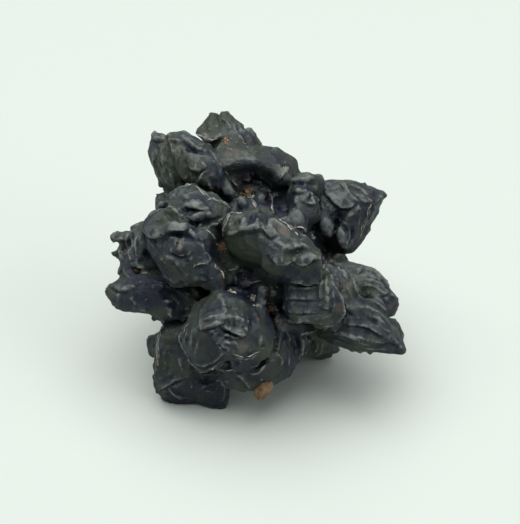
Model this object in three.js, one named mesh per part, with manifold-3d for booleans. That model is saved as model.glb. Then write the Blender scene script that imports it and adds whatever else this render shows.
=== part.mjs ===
// A marcasite nodule about 50 mm across: one piece of black, weathered crystal that grew outwards
// from its middle into blunt spires. It stands on four worn tips.
//
// Everything is placed in the show frame, which is centred on the nodule and tipped back by
// SHOW_TILT: x runs across to the right, y up and z out of the side that shows best.
// All sizes are in millimetres. In the finished part Z is up and the floor is at Z = 0.
import * as THREE from "three";
import { ConvexGeometry } from "three/addons/geometries/ConvexGeometry.js";
import { mergeVertices } from "three/addons/utils/BufferGeometryUtils.js";
import Module from "manifold-3d";

const wasm = await Module();
wasm.setup();

const SHOW_TILT = THREE.MathUtils.degToRad(35); // how far the show side faces up
const FOOT_LEVEL = -21.9; // height of the worn tips below the nodule's middle
const CORE = { radius: 11, middle: [0, -0.5, -3.2] }; // the solid heart that all spires grow from
const STRAY = 0.1; // how far a crystal's corners stray, as a share of its radius
const RIB = { share: 0.6, offset: 0.34, reach: 0.8, splay: 1.1, blunt: 0.35 }; // against its own crystal
const EYE = [0.7, -1, 300]; // the point, far out on the show side, that folds are aimed from
const CRUMPLE = { edge: 5, push: 0.5 }; // faces are broken up at this length and pushed in or out
const MERGE = 1e-4;

const at = ([x, y, z]) => new THREE.Vector3(x, y, z);

// The masses are flat-faced blocks, each the hull of its corners.
const MASSES = {
  top_crest: [
    [
      [-9.9, 20.6, -3], [-9.5, 21.9, -4], [-8.4, 23.5, -5], [-7.3, 23.9, -5.5], [-6.2, 23.6, -5.5],
      [-4.8, 21.3, -3.5], [-4.3, 19.3, -2.5], [-7, 19.6, -1.8], [-9, 20, -2], [-4, 13, -8],
      [-2, 16, -6],
    ],
    [
      [-5.9, 24.2, -6], [-5.2, 24.7, -6.5], [-4, 24.2, -6.5], [-3, 22.8, -6], [-1.2, 19.5, -4],
      [-3.5, 19.6, -3], [-5, 22, -4.2], [-3, 13, -9], [0, 16, -6],
    ],
    [
      [-2.6, 21.7, -6.5], [-1.5, 21.2, -6.5], [-0.3, 19.9, -6], [0.4, 18.2, -5.2], [-1, 17.8, -4],
      [-2.6, 20.5, -5], [-1, 13, -10], [1, 15, -6],
    ],
  ],
  saddle: [
    [
      [-7.3, 18, -2], [-5, 19.2, -3], [-1, 17.8, -3.5], [0.4, 18, -4], [-0.3, 15.9, 0.8],
      [-3, 15.8, 1.2], [-5.6, 15.2, 1.6], [-4, 8, -6], [-1, 10, -6],
    ],
    [
      [0.3, 18, -4], [1.5, 18.5, -4], [3.2, 18.6, -4], [4.2, 18, -4], [4.5, 15.2, 0.5],
      [2, 14.6, 1.2], [-0.5, 15.8, 0.4], [0, 8, -6], [4, 8, -6],
    ],
    [
      [4.3, 17.9, -4], [6.2, 17, -4], [7.1, 16, -4], [7.2, 14.6, -3], [6.6, 13, -1], [4.6, 14.6, 0.6],
      [3.4, 13.6, 0], [3, 8, -6], [7, 9, -6],
    ],
  ],
  upper_knob: [
    [
      [7.4, 14.2, 0.5], [9, 14.1, 1], [10, 13.3, 1], [10.4, 11.5, 1], [10.2, 10.4, 2.5],
      [8.4, 12, 4.4], [7, 11, 4.6], [6, 12.6, 1.5], [4, 5, -3], [8, 6, -4],
    ],
    [
      [7, 11, 5.4], [9, 10.6, 5.8], [10.6, 9.4, 3.5], [10.5, 6.4, 3], [9.2, 6, 5.6], [7.5, 8, 6.8],
      [6.2, 9, 5.4], [4, 3, -2], [8, 4, -3],
    ],
    [
      [4.7, 5.8, 7.6], [6, 7.8, 6], [8, 7.6, 6], [8.6, 6, 6.8], [8.6, 3.8, 8.2], [5, 4, 9], [3, 2, 2],
      [7, 2, 2],
    ],
  ],
  upper_left: [
    [
      [-17.6, 20.8, -4], [-16.3, 20.6, -2.5], [-15, 19.8, -2.4], [-18.3, 16.6, -5], [-16, 16, -1.2],
      [-14, 15, 1.2], [-16, 12.2, -2.5], [-14.1, 10.2, -2], [-12.5, 12, 1], [-8, 10, -7],
      [-10, 15, -7],
    ],
    [
      [-14.6, 20, -2], [-13.4, 20.9, -2.5], [-12.2, 20.7, -2.5], [-13.8, 17, 1.8], [-10.2, 19.8, -2],
      [-11, 16.3, 4.4], [-12.4, 13, 3], [-6, 9, -6], [-9, 12, -7],
    ],
    [
      [-10.6, 19.9, -2.4], [-8.4, 18.8, -1.4], [-7, 16.8, 0.8], [-6.2, 14.4, 2.6], [-8.6, 15.4, 4.8],
      [-10.8, 16, 4.6], [-11.6, 12.6, 3.4], [-8, 12, 4.4], [-5.2, 12.2, 2], [-7, 10.8, 3],
      [-4, 8, -5], [-7, 12, -6],
    ],
  ],
  upper_right: [
    [
      [10.6, 12.2, -2], [12, 12.8, -3], [13.6, 13.1, -3], [15.3, 12.9, -3], [17, 12.2, -1.5],
      [14, 9.6, 2.8], [11.2, 9, 1.4], [12.4, 7, 2], [6, 4, -5], [12, 5, -9],
    ],
    [
      [15, 12.9, -3], [18.4, 12, -3.5], [21, 11.5, -4.2], [21.9, 10.4, -4.4], [21.4, 9.4, -4.4],
      [17.4, 8.8, 1.4], [14.4, 9.8, 2.4], [15.4, 6, 1.6], [18.8, 6, -2.4], [17, 3, -3], [8, 5, -6],
      [14, 6, -9],
    ],
    [
      [18.8, 5.6, -3], [18.3, 4, -3], [17.6, 2, -3], [16.8, 0.6, -3], [15.6, 0.3, -2.4],
      [14.6, 2.4, -0.4], [14.6, 6, 1.4], [17, 6.4, 0.8], [8, 3, -5], [13, 2, -8],
    ],
    [
      [21.3, 9, -5], [20.7, 7.4, -4.6], [20.2, 6.2, -4.8], [19, 5.4, -4.4], [19.4, 7.6, -2.6],
      [14, 6, -8],
    ],
  ],
  left_middle: [
    [
      [-13.8, 10.2, 2], [-12.6, 11.6, 3.6], [-10.4, 12, 4.6], [-9.2, 11.2, 5.2], [-7.4, 9.8, 6.8],
      [-5, 8.8, 6.4], [-3.7, 7.6, 6.4], [-7, 6.4, 9.4], [-11, 6.4, 9.8], [-13.6, 7, 7.4],
      [-15, 9.2, 3], [-3, 3, 1], [-8, 4, -2],
    ],
    [
      [-17.6, 6.6, 4], [-18.4, 4.4, 5], [-18.2, 2.4, 5], [-16.4, 8, 5], [-14.4, 7.4, 8],
      [-15, 4.8, 10.6], [-11, 4.8, 11.8], [-11.4, 6.6, 9.6], [-17.4, 0, 4], [-14, 1, 9], [-6, 1, 0],
      [-9, 4, -2],
    ],
    [
      [-17.4, 0.6, 5], [-16.6, -1.4, 6], [-15.2, -3, 7], [-13.4, -4.5, 8], [-12, -5, 8.5],
      [-10.3, -4.3, 9.8], [-12, 1.4, 12.2], [-15.4, 2.6, 9.8], [-8.2, 3, 11.6], [-8, 0.3, 11.4],
      [-8.4, -3.6, 10], [-4, 0, 1], [-8, -3, 0],
    ],
    [
      [-9.4, -4.6, 9], [-7.5, -5.7, 9], [-5.9, -5.8, 8.6], [-5, -5, 8.6], [-5.5, -3.3, 9.6],
      [-7, -1.3, 10.6], [-8.8, -0.4, 11], [-3, -2, 2], [-6, -3, 1],
    ],
    [
      [-7.6, 6.2, 9], [-4.8, 7, 7.4], [-6.6, 4.6, 9.4], [-7, 2.6, 9.8], [-9, 3, 11.2], [-10, 5.6, 11],
      [-3, 3, 2], [-6, 1, 1],
    ],
  ],
  far_left: [
    [
      [-24.6, 3.1, -2], [-24, 3.8, -2.4], [-21.4, 4.3, -1.6], [-20.4, 3, 0.6], [-22.4, 1, -0.8],
      [-6, 1, -4], [-6, -2, -2],
    ],
    [
      [-21, 4.8, -0.6], [-19.6, 5.9, -0.8], [-18.4, 5.8, 0], [-17.6, 2, 3], [-19.6, -0.6, 2.6],
      [-21.2, 2, 1.6], [-6, 2, -4], [-6, -1, -1],
    ],
    [
      [-24.3, 0.5, -1], [-23.4, 1, -1.4], [-22.6, 0.9, -0.4], [-22.4, -0.6, 0], [-23.4, -0.8, -0.6],
      [-7, -2, -3], [-7, 0, -3],
    ],
    [
      [-22.6, 0.4, 0], [-23.4, -2.8, 0.6], [-21.6, -3.6, 2.4], [-19.8, -1, 3], [-20.6, 1.6, 1.8],
      [-6, -3, -1], [-6, 0, -3],
    ],
    [
      [-17.4, 9.6, -3], [-16.8, 11, -3.6], [-15.4, 11.2, -3.6], [-14.6, 10, -2], [-17.4, 7.4, -1.4],
      [-6, 4, -4], [-6, 2, 0],
    ],
  ],
  left_lower: [
    [
      [-23.4, -4, 2.4], [-25, -6, 2.8], [-24.8, -7.3, 2.8], [-23.3, -8.8, 2.8], [-20.4, -5.3, 6],
      [-19.6, -9.1, 4], [-16, -5.5, 6.6], [-20.2, -3.2, 3.6], [-8, -4, -2], [-10, -9, -1],
    ],
    [
      [-20.4, -5.2, 6], [-19.8, -9.1, 4.2], [-15, -10, 4.6], [-12, -10.8, 4.6], [-11.2, -8, 6.4],
      [-15, -5.4, 7], [-19, -3.4, 4], [-5, -4, -1], [-6, -9, -1],
    ],
    [
      [-18.6, -9.6, -1.4], [-17, -10.8, -1.6], [-14.6, -11.4, 0], [-14, -9, 3], [-8, -6, -4],
    ],
  ],
  centre: [
    [
      [-5.3, 4.6, 11.4], [2, 4.1, 14.6], [4.4, 0.4, 16], [-0.4, -0.9, 10.8], [-4.6, 0.9, 8.8],
      [-5.2, 5.8, 10], [-4.4, 6.7, 9.4], [-0.8, 7, 9], [1.6, 6.8, 9.4], [3.6, 5.6, 11.4], [-3, 3, 0],
      [3, 3, 0], [2, -2, 2],
    ],
    [
      [2, 4.1, 14.6], [4.4, 0.6, 16.4], [10.4, -0.7, 15.6], [9.9, 0.6, 13.4], [7.8, 3.4, 11.4],
      [5, 5.2, 11], [3, 5.6, 11], [1, -2, 13.6], [3, -3.8, 10.8], [10, -4.8, 11.8],
      [10.6, -2.8, 13.4], [2, 3, 2], [7, 0, 2], [6, -3, 3],
    ],
    [
      [7.8, 3.5, 10.6], [9.6, 2, 11], [10.3, 0.4, 12], [9, -1, 14], [6.4, 1.6, 14.6], [5, 4, 12],
      [6, 1, 2],
    ],
  ],
  right_block: [
    [
      [5.2, -5, 10.6], [10.4, -4.8, 11.6], [5.3, -10.4, 10.8], [7, -10.8, 11.4], [10.8, -11.2, 11.2],
      [11.6, -7, 12.4], [3, -3, 2], [6, -8, 2], [10, -5, 2],
    ],
    [
      [10.2, -4.8, 11.4], [11.6, -3, 9], [13, -6, 9.8], [14, -9.8, 9.6], [13, -11.9, 9.4],
      [10.8, -11.2, 11.2], [11.6, -7, 12.4], [6, -3, 1], [8, -9, 1],
    ],
  ],
  right_spear: [
    [
      [25.2, -16.2, 3], [22, -16.2, 3.4], [18, -15.8, 4], [15, -15.2, 3.6], [12, -14.6, 2.4],
      [13.4, -12.4, 7], [16, -11, 8], [21, -12, 6.4], [22.4, -14, 5], [24, -13.4, 2.6], [5, -5, -2],
      [8, -11, -2], [16, -12, -4],
    ],
    [
      [24, -12.4, 1.6], [23.9, -13.5, 1.8], [23, -11.4, 2], [21, -9.5, 2.6], [18, -8, 4],
      [14.4, -9, 8], [16.6, -10.6, 7.4], [20.6, -11.6, 5.6], [8, -3, -3], [15, -9, -5],
    ],
    [
      [18, -8, 4], [16.2, -6, 5.4], [15, -3.6, 5.4], [13, -1.6, 5.4], [11.6, -1.2, 4.6], [11, -3, 7],
      [13.6, -7, 8.6], [15, -9.4, 7.8], [20, -9.4, 3.6], [6, -1, -2], [10, -6, -3],
    ],
    [
      [14.6, -1.6, 1.6], [17, -1.2, 0.6], [19, -2, 0], [21, -3, -0.6], [22, -5, -0.6], [19, -7.4, 3],
      [16.6, -5.4, 4], [8, 0, -5], [15, -5, -7],
    ],
    [
      [22, -5.2, -0.8], [24.4, -7.6, -0.8], [23.2, -9, -0.2], [22.4, -10, 0.4], [19.4, -7.4, 3],
      [19, -4.6, 1.6], [13, -5, -6],
    ],
  ],
  lower_boss: [
    [
      [-8, -6.8, 8.6], [-5.4, -6, 9], [-3, -6.6, 9.6], [-1.2, -8.6, 10.4], [-11, -11, 10.6],
      [-7.8, -10.6, 14.4], [-5, -10.8, 16], [-2, -11.6, 15], [0.4, -12, 12.8], [-10.2, -7.8, 8.4],
      [-5, -15, 13.6], [-2, -5, 0], [-6, -8, 0], [-4, -12, 0],
    ],
    [
      [-12, -12.8, 8.8], [-11.9, -14.4, 8.8], [-11, -16.2, 9.2], [-10, -18, 9.4], [-8.8, -18.8, 9.8],
      [-7.6, -18.8, 10.2], [-6.3, -17.8, 10.8], [-4, -16, 12.6], [-7.8, -11.2, 14.4],
      [-11, -11.2, 10.8], [-4.6, -12, 15], [-3, -8, 0], [-6, -12, 0],
    ],
    [
      [-1, -9.6, 11.6], [1, -11.6, 12.8], [0.6, -14.4, 12.6], [-3, -16.4, 12.2], [-4.4, -18.2, 9.6],
      [-1.5, -18.7, 8.8], [2, -16.6, 9.6], [3, -13.6, 9.6], [1.4, -8, 8], [0, -5, 0], [-2, -10, 0],
    ],
  ],
  under_front: [
    [
      [-4.8, -18.6, 7.6], [-2.4, -19.4, 7.8], [-3.8, -22.4, 3.6], [-1.5, -22.4, 4.2], [1, -18.8, 7.8],
      [-6, -20, 5], [-2, -8, 0],
    ],
    [
      [1, -18.6, 8], [3, -16.2, 8.6], [4.7, -20.2, 3.8], [6.5, -19.2, 1.8], [7, -17.4, 2],
      [6, -13.6, 5], [0, -22.4, 3.6], [-1.4, -22, 4.4], [0, -8, 0], [5, -8, -2],
    ],
  ],
  front_feet: [
    [
      [-15.3, -11.2, 1], [-12, -11.6, 3.4], [-11.4, -13, 5], [-15.4, -13, 3.2], [-16.4, -19, 2],
      [-17.3, -22.8, -1.2], [-16.5, -23.5, -1.8], [-14.5, -20.8, 2], [-11, -19.4, 4.4],
      [-10.4, -22.4, 0.6], [-6, -8, -3], [-5, -14, -2], [-12, -14, -7],
    ],
    [
      [-16, -24.7, -3.8], [-14, -25.4, -3.4], [-10.4, -25, -2.4], [-15.4, -23, -3], [-10, -20.6, 1.6],
      [-12.4, -21, 1.2], [-5, -12, -4], [-10, -15, -6],
    ],
    [
      [-10, -20.4, 3], [-6, -19.6, 3.6], [-4.5, -22.8, 0.8], [-4.9, -25, -0.9], [-5.6, -26.4, -2],
      [-6.6, -25.9, -1.8], [-7.6, -24.8, -1.4], [-10, -24.6, -2], [-3, -12, -3], [-7, -12, -4],
    ],
    [
      [-18.3, -14.6, -3], [-18.2, -16.2, -3.2], [-16.8, -12.6, -1.4], [-16.5, -18, -1], [-15, -14, 2],
      [-8, -10, -6],
    ],
  ],
  under_block: [
    [
      [4, -10, 5], [8, -10.6, 6], [9.6, -12, 3.4], [7.6, -13.4, 5], [6.8, -17.6, 1], [5, -16, 3.4],
      [3.6, -12, 6.4], [2, -7, -2], [8, -8, -4], [6, -14, -5],
    ],
  ],
  right_foot: [
    [
      [10.4, -17.6, -12], [11.2, -18.3, -13.4], [13.2, -18.1, -13.7], [14, -15.8, -10.6],
      [12, -13, -5], [9, -15, -6], [4, -6, -6], [6, -10, -10],
    ],
    [
      [8.6, -16.6, -3], [11.6, -17, -5], [12, -16, -4.4], [13.7, -16, -5.6], [13.8, -15, -5],
      [11, -12.6, 1], [7.6, -13, 2], [4, -8, -3], [9, -8, -6],
    ],
  ],
};

// Crystals are faceted spindles: `wide` across, `thick` through, and `blunt` is how broad the tip
// stays. `ribs` is how many thinner crystals have grown along its flanks.
const CRYSTALS = {
  back_foot: [
    { tip: [-8.2, -11.4, -23], root: [-2, -3, -4], wide: 11, thick: 10, blunt: 0.35, ribs: 2 },
    { tip: [-2.0, -7.4, -23], root: [0, -3, -4], wide: 10, thick: 9, blunt: 0.4, ribs: 2 },
  ],
  back_middle: [
    { tip: [1.0, 4.0, -25], root: [0, 1, -3], wide: 14, thick: 13, blunt: 0.2, ribs: 3 },
    { tip: [6.0, 7.0, -21], root: [1, 1, -3], wide: 11, thick: 10, blunt: 0.35, ribs: 2 },
  ],
  back_left: [
    { tip: [-14.0, 7.0, -17], root: [-2, 2, -3], wide: 13, thick: 12, blunt: 0.2, ribs: 3 },
    { tip: [-16.0, -2.6, -14], root: [-2, -1, -3], wide: 12, thick: 11, blunt: 0.3, ribs: 3 },
    { tip: [-13.0, -9.0, -12], root: [-2, -3, -3], wide: 11, thick: 10, blunt: 0.3, ribs: 2 },
  ],
  back_right: [
    { tip: [15.0, 5.0, -17], root: [2, 2, -3], wide: 13, thick: 12, blunt: 0.2, ribs: 3 },
    { tip: [17.0, -5.0, -13], root: [2, -1, -3], wide: 12, thick: 11, blunt: 0.3, ribs: 3 },
    { tip: [9.0, -9.0, -19], root: [2, -3, -3], wide: 11, thick: 10, blunt: 0.3, ribs: 3 },
  ],
  back_top: [
    { tip: [3.0, 15.0, -15], root: [0, 3, -3], wide: 13, thick: 12, blunt: 0.2, ribs: 3 },
    { tip: [-6.0, 16.0, -12], root: [-1, 3, -3], wide: 11, thick: 10, blunt: 0.3, ribs: 2 },
    { tip: [10.0, 13.0, -11], root: [1, 3, -3], wide: 10, thick: 10, blunt: 0.3, ribs: 2 },
  ],
};

// Folds are blunt ridges on the surface: [half-width, rise], then the points [x, y] they run through.
const FOLDS = [
  [[1, 0.8], [-16.6, 18.8], [-16.8, 16.6], [-15.2, 13]],
  [[0.9, 0.9], [-15.2, 18.6], [-15.2, 15.6], [-13.8, 12.4]],
  [[1.5, 1.1], [-12.6, 19.4], [-10.4, 18.2], [-8.8, 16.6]],
  [[1.3, 1], [13.8, 12.2], [15.2, 10.6], [16.6, 8.6]],
  [[1.5, 1.2], [-12, 7.8], [-10, 8.3], [-6.4, 7.8]],
  [[1.5, 1.2], [-17.4, 4.2], [-15.8, 4.1], [-14.2, 4.6]],
  [[1.4, 1.1], [-15.2, 1.6], [-13, 2], [-10.8, 1.4]],
  [[1.4, 1.1], [-15.8, -0.6], [-14.2, -0.8], [-12.6, -1.6]],
  [[1.3, 1.1], [1.4, 6], [2.4, 5.2], [2.8, 4.3]],
  [[1.5, 1.2], [5.2, 2.6], [6.2, 1.4], [5.9, 0.2]],
  [[1.4, 1.1], [11.2, -3.6], [12.1, -5.6], [12.5, -8]],
  [[1.4, 1], [13.4, -2.2], [15, -4.4], [16.2, -7]],
  [[1.2, 0.9], [13.6, -12.8], [16.4, -13.1], [19.4, -13.7]],
  [[1.4, 1.2], [-7.4, -11.9], [-6.2, -11.2], [-5.2, -11.8]],
  [[1.4, 1.2], [-4.8, -11.6], [-3.4, -12.4], [-2, -12.4]],
  [[1.4, 1], [-5.6, -13.6], [-5.4, -15.2], [-6.2, -17]],
  [[1.3, 1], [-15, -13.6], [-15.4, -16.6], [-15.8, -19.6]],
];
// How deep a fold's foot is sunk, how wide its foot and top are, and its rise at the ends.
const FOLD = { sink: 0.9, foot: 1.5, top: 0.3, end: 0.1 };

// Grains are small crystals set into the surface: [x, y], [length, width, height], lean in degrees.
const GRAINS = [
  [[12.2, 5.3], [4.8, 2.6, 2.6], 88],
  [[14.9, 2.8], [4, 2.2, 2.2], 82],
  [[-4.4, 11.2], [4.6, 2.4, 2.4], 125],
  [[1.2, 9.4], [3.4, 2.6, 2.8], 90],
  [[-2, 8.5], [2.8, 2.2, 2.2], 100],
  [[2.6, 12.6], [3, 2.2, 1.8], 120],
  [[-2.4, -1.4], [3, 2.2, 2.2], 20],
  [[-1, -3.6], [2.8, 2.2, 2.2], 140],
  [[1, -5.8], [3.2, 2.4, 2.2], 70],
  [[3.2, -6], [2.8, 2.2, 2.2], 110],
  [[2.4, -8.2], [2.8, 2.2, 2.2], 30],
  [[-5.8, 2.6], [2.6, 2, 2], 70],
  [[-16.5, -5.2], [2.6, 1.8, 1.8], 20],
  [[1.3, -21.4], [4, 2.6, 3.2], 40],
  [[8.5, -14.4], [2.8, 2, 2], 60],
  [[9.6, -16], [2.8, 2, 2], 150],
];

// Pits are small hollows sunk into the surface, given in the same way.
const PITS = [
  [[-12.9, 0.2], [4.2, 2.2, 2], 10],
  [[-11.6, 6.6], [4, 2, 2], 15],
  [[4.4, 1.4], [3, 1.8, 2], 70],
  [[-8, -12.8], [3.4, 2, 1.6], 100],
  [[18.6, -12.2], [6, 2.6, 2], 160],
  [[13.4, -5], [4, 1.6, 1.6], 110],
  [[-13.6, 16.6], [4, 1.6, 1.8], 85],
  [[17.2, 10.6], [4, 2, 1.6], 120],
];

// A repeatable stream of numbers from 0 to 1 (mulberry32).
function randomStream(seed) {
  let state = seed;
  return () => {
    state = (state + 0x6d2b79f5) | 0;
    let t = Math.imul(state ^ (state >>> 15), 1 | state);
    t = (t + Math.imul(t ^ (t >>> 7), 61 | t)) ^ t;
    return ((t ^ (t >>> 14)) >>> 0) / 4294967296;
  };
}

const random = randomStream(7);
const spread = (amount) => (random() * 2 - 1) * amount;

// Merges a geometry's shared corners, so that only its positions and triangles are left.
function welded(geometry) {
  geometry.deleteAttribute("normal");
  geometry.deleteAttribute("uv");
  return mergeVertices(geometry, MERGE);
}

function toSolid(geometry) {
  return new wasm.Manifold(
    new wasm.Mesh({
      numProp: 3,
      vertProperties: geometry.attributes.position.array,
      triVerts: new Uint32Array(geometry.index.array),
    }),
  );
}

function toGeometry(solid) {
  const mesh = solid.getMesh();
  return new THREE.BufferGeometry()
    .setAttribute("position", new THREE.BufferAttribute(mesh.vertProperties, mesh.numProp))
    .setIndex(new THREE.BufferAttribute(mesh.triVerts, 1));
}

const hull = (corners) => welded(new ConvexGeometry(corners));

// One crystal: a faceted spindle, the hull of rings of corners that stray a little.
function crystal({ tip, root, wide, thick, blunt, sides = 6 }) {
  const rings = [
    [0.7, 0],
    [1, 0.45],
    [0.6 + 0.4 * blunt, 0.8],
    [0.6 * blunt, 1],
  ];
  const axis = tip.clone().sub(root);
  const lengthwise = new THREE.Quaternion().setFromUnitVectors(
    new THREE.Vector3(0, 1, 0),
    axis.clone().normalize(),
  );
  const corners = rings.flatMap(([radius, height]) =>
    Array.from({ length: sides }, (_, i) => {
      const angle = ((i + spread(STRAY)) * Math.PI * 2) / sides;
      const reach = radius * (1 + spread(STRAY));
      return new THREE.Vector3(
        (Math.cos(angle) * reach * wide) / 2,
        axis.length() * Math.min(height + spread(STRAY / 4), 1),
        (Math.sin(angle) * reach * thick) / 2,
      )
        .applyQuaternion(lengthwise)
        .add(root);
    }),
  );
  return hull(corners);
}

// The thinner crystals that have grown along a crystal's flanks, side by side with it.
function ribsOf({ tip, root, wide, thick, ribs }) {
  const axis = tip.clone().sub(root);
  const across = axis.clone().cross(new THREE.Vector3(1, 2, 3)).normalize();
  const start = random() * Math.PI * 2;
  return Array.from({ length: ribs }, (_, i) => {
    const angle = start + (i * Math.PI * 2) / ribs + spread(0.5);
    const reach = RIB.reach + spread(STRAY);
    const sideways = across
      .clone()
      .applyAxisAngle(axis.clone().normalize(), angle)
      .multiplyScalar(wide * RIB.offset);
    return crystal({
      tip: sideways.clone().multiplyScalar(RIB.splay).addScaledVector(axis, reach).add(root),
      root: root.clone().add(sideways),
      wide: wide * RIB.share,
      thick: thick * RIB.share,
      blunt: RIB.blunt,
      sides: 5,
    });
  });
}

function core() {
  return welded(new THREE.IcosahedronGeometry(CORE.radius, 1)).translate(...CORE.middle);
}

// The triangles of a face whose long edges have been split: `loop` is its corners with the new
// ones between them, and the new ones are numbered from `first`.
function facesOf(loop, first) {
  if (loop.length === 6) {
    const [a, ab, b, bc, c, ca] = loop;
    return [a, ab, ca, ab, b, bc, bc, c, ca, ab, bc, ca];
  }
  const start = Math.max(loop.findIndex((corner) => corner >= first), 0);
  const turned = [...loop.slice(start), ...loop.slice(0, start)];
  return turned.slice(2).flatMap((_, i) => [turned[0], turned[i + 1], turned[i + 2]]);
}

// Breaks a block's long edges at their middles and pushes the new corners a little in or out.
function crumpled(geometry) {
  geometry.computeBoundingSphere();
  const middle = geometry.boundingSphere.center;
  const count = geometry.attributes.position.count;
  const corners = Array.from({ length: count }, (_, i) =>
    new THREE.Vector3().fromBufferAttribute(geometry.attributes.position, i),
  );
  const broken = new Map();
  const breakOf = (a, b) => {
    if (corners[a].distanceTo(corners[b]) < CRUMPLE.edge) return [];
    const key = `${Math.min(a, b)} ${Math.max(a, b)}`;
    if (!broken.has(key)) {
      const corner = corners[a].clone().lerp(corners[b], 0.5);
      const out = corner.clone().sub(middle).normalize();
      broken.set(key, corners.length);
      corners.push(corner.addScaledVector(out, spread(CRUMPLE.push)));
    }
    return [broken.get(key)];
  };
  const faces = [];
  for (let i = 0; i < geometry.index.count; i += 3) {
    const [a, b, c] = geometry.index.array.slice(i, i + 3);
    faces.push(...facesOf([a, ...breakOf(a, b), b, ...breakOf(b, c), c, ...breakOf(c, a)], count));
  }
  return new THREE.BufferGeometry().setFromPoints(corners).setIndex(faces);
}

function massSolid() {
  const pieces = [core()];
  for (const masses of Object.values(MASSES)) {
    for (const corners of masses) pieces.push(crumpled(hull(corners.map(at))));
  }
  for (const spires of Object.values(CRYSTALS)) {
    for (const each of spires) {
      const placed = { ...each, tip: at(each.tip), root: at(each.root) };
      pieces.push(crystal(placed), ...ribsOf(placed));
    }
  }
  return wasm.Manifold.union(pieces.map(toSolid));
}

// Finds where the line from EYE through [x, y] meets the surface, and which way is out there.
function surfaceFinder(geometry) {
  const target = new THREE.Mesh(geometry);
  const eye = at(EYE);
  return ([x, y]) => {
    const towards = new THREE.Vector3(x, y, 0).sub(eye).normalize();
    const hit = new THREE.Raycaster(eye, towards).intersectObject(target)[0];
    const out = hit.face.normal.clone().lerp(towards.negate(), 0.5).normalize();
    return { point: hit.point, out };
  };
}

// A fold: the hull of a wide foot sunk into the surface and a narrow top raised above it.
function fold([[width, rise], ...places], find) {
  const knots = places.map(find);
  const along = knots.at(-1).point.clone().sub(knots[0].point).normalize();
  const corners = knots.flatMap(({ point, out }, i) => {
    const end = i === 0 || i === knots.length - 1;
    const side = along.clone().cross(out).normalize();
    const foot = point.clone().addScaledVector(out, -FOLD.sink);
    const top = point.clone().addScaledVector(out, rise * (end ? FOLD.end : 1));
    const half = width * (1 + spread(STRAY));
    return [
      foot.clone().addScaledVector(side, half * FOLD.foot),
      foot.clone().addScaledVector(side, -half * FOLD.foot),
      top.clone().addScaledVector(side, half * FOLD.top),
      top.clone().addScaledVector(side, -half * FOLD.top),
    ];
  });
  return hull(corners);
}

// A small rounded crystal or hollow: a faceted ball, stretched, leaned over and set on the surface.
function pebble([place, [length, width, height], lean], find) {
  const { point } = find(place);
  return welded(new THREE.IcosahedronGeometry(0.5, 0))
    .scale(length, width, height)
    .rotateZ(THREE.MathUtils.degToRad(lean))
    .translate(...point.toArray());
}

function noduleSolid() {
  const body = massSolid();
  const find = surfaceFinder(toGeometry(body));
  const folds = FOLDS.map((each) => fold(each, find));
  const grains = GRAINS.map((each) => pebble(each, find));
  const pits = PITS.map((each) => pebble(each, find));
  return wasm.Manifold.union([body, ...[...folds, ...grains].map(toSolid)]).subtract(
    wasm.Manifold.union(pits.map(toSolid)),
  );
}

// Cuts the lowest tips off at the floor, as if worn flat, and sets the part down on Z = 0.
function standing(geometry) {
  geometry.rotateX(Math.PI / 2 - SHOW_TILT);
  const below = new THREE.BoxGeometry(100, 100, 20).translate(0, 0, FOOT_LEVEL - 10);
  const worn = toGeometry(toSolid(geometry).subtract(toSolid(welded(below))));
  worn.computeBoundingBox();
  const middle = worn.boundingBox.getCenter(new THREE.Vector3());
  return worn.translate(-middle.x, -middle.y, -worn.boundingBox.min.z);
}

const stone = new THREE.MeshStandardMaterial({ color: 0x26272a, roughness: 0.5, metalness: 0.1 });
const nodule = new THREE.Mesh(standing(toGeometry(noduleSolid())), stone);
nodule.name = "nodule";

const part = new THREE.Group();
part.add(nodule);
export default part;
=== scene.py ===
"""A marcasite nodule, about 50 mm across: a burst of blunt crystal lobes grown as one piece, weathered black.

The skin is made from the frame's solid. It is remeshed evenly, flattened into crystal faces, then worked
with strokes: ledges, folds, clefts, beads and hollows. Strokes are placed across and up on the nodule's show
side, and wander at random over the rest of it. Lengths are in millimetres until a mesh is stored, and in
metres in Blender.
"""

from __future__ import annotations

import logging
import math
import random
from collections.abc import Sequence
from dataclasses import dataclass, field
from enum import Enum

import bmesh
import bpy
import numpy as np
from mathutils import Matrix, Vector, noise
from mathutils.bvhtree import BVHTree
from mathutils.kdtree import KDTree

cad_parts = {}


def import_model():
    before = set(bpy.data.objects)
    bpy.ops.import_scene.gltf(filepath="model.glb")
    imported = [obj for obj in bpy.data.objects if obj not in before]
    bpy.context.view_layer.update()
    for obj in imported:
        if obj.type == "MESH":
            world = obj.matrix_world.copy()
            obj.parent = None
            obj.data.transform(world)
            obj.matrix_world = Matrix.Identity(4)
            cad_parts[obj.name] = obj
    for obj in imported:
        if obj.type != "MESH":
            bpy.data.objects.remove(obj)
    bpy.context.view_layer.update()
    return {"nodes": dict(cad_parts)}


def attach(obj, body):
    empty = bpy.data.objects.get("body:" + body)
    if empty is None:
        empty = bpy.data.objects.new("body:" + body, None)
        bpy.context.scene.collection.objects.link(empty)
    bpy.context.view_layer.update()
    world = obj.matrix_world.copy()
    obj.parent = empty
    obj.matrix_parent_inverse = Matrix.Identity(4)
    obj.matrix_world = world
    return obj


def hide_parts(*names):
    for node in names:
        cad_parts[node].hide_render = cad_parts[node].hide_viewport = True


LOG = logging.getLogger("marcasite_nodule")
MM = 0.001
IMAGE_SIZE = (520, 524)

Point = tuple[float, float]
Place = tuple[float, float, float]
Crystals = list[tuple[np.ndarray, float]]


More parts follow.
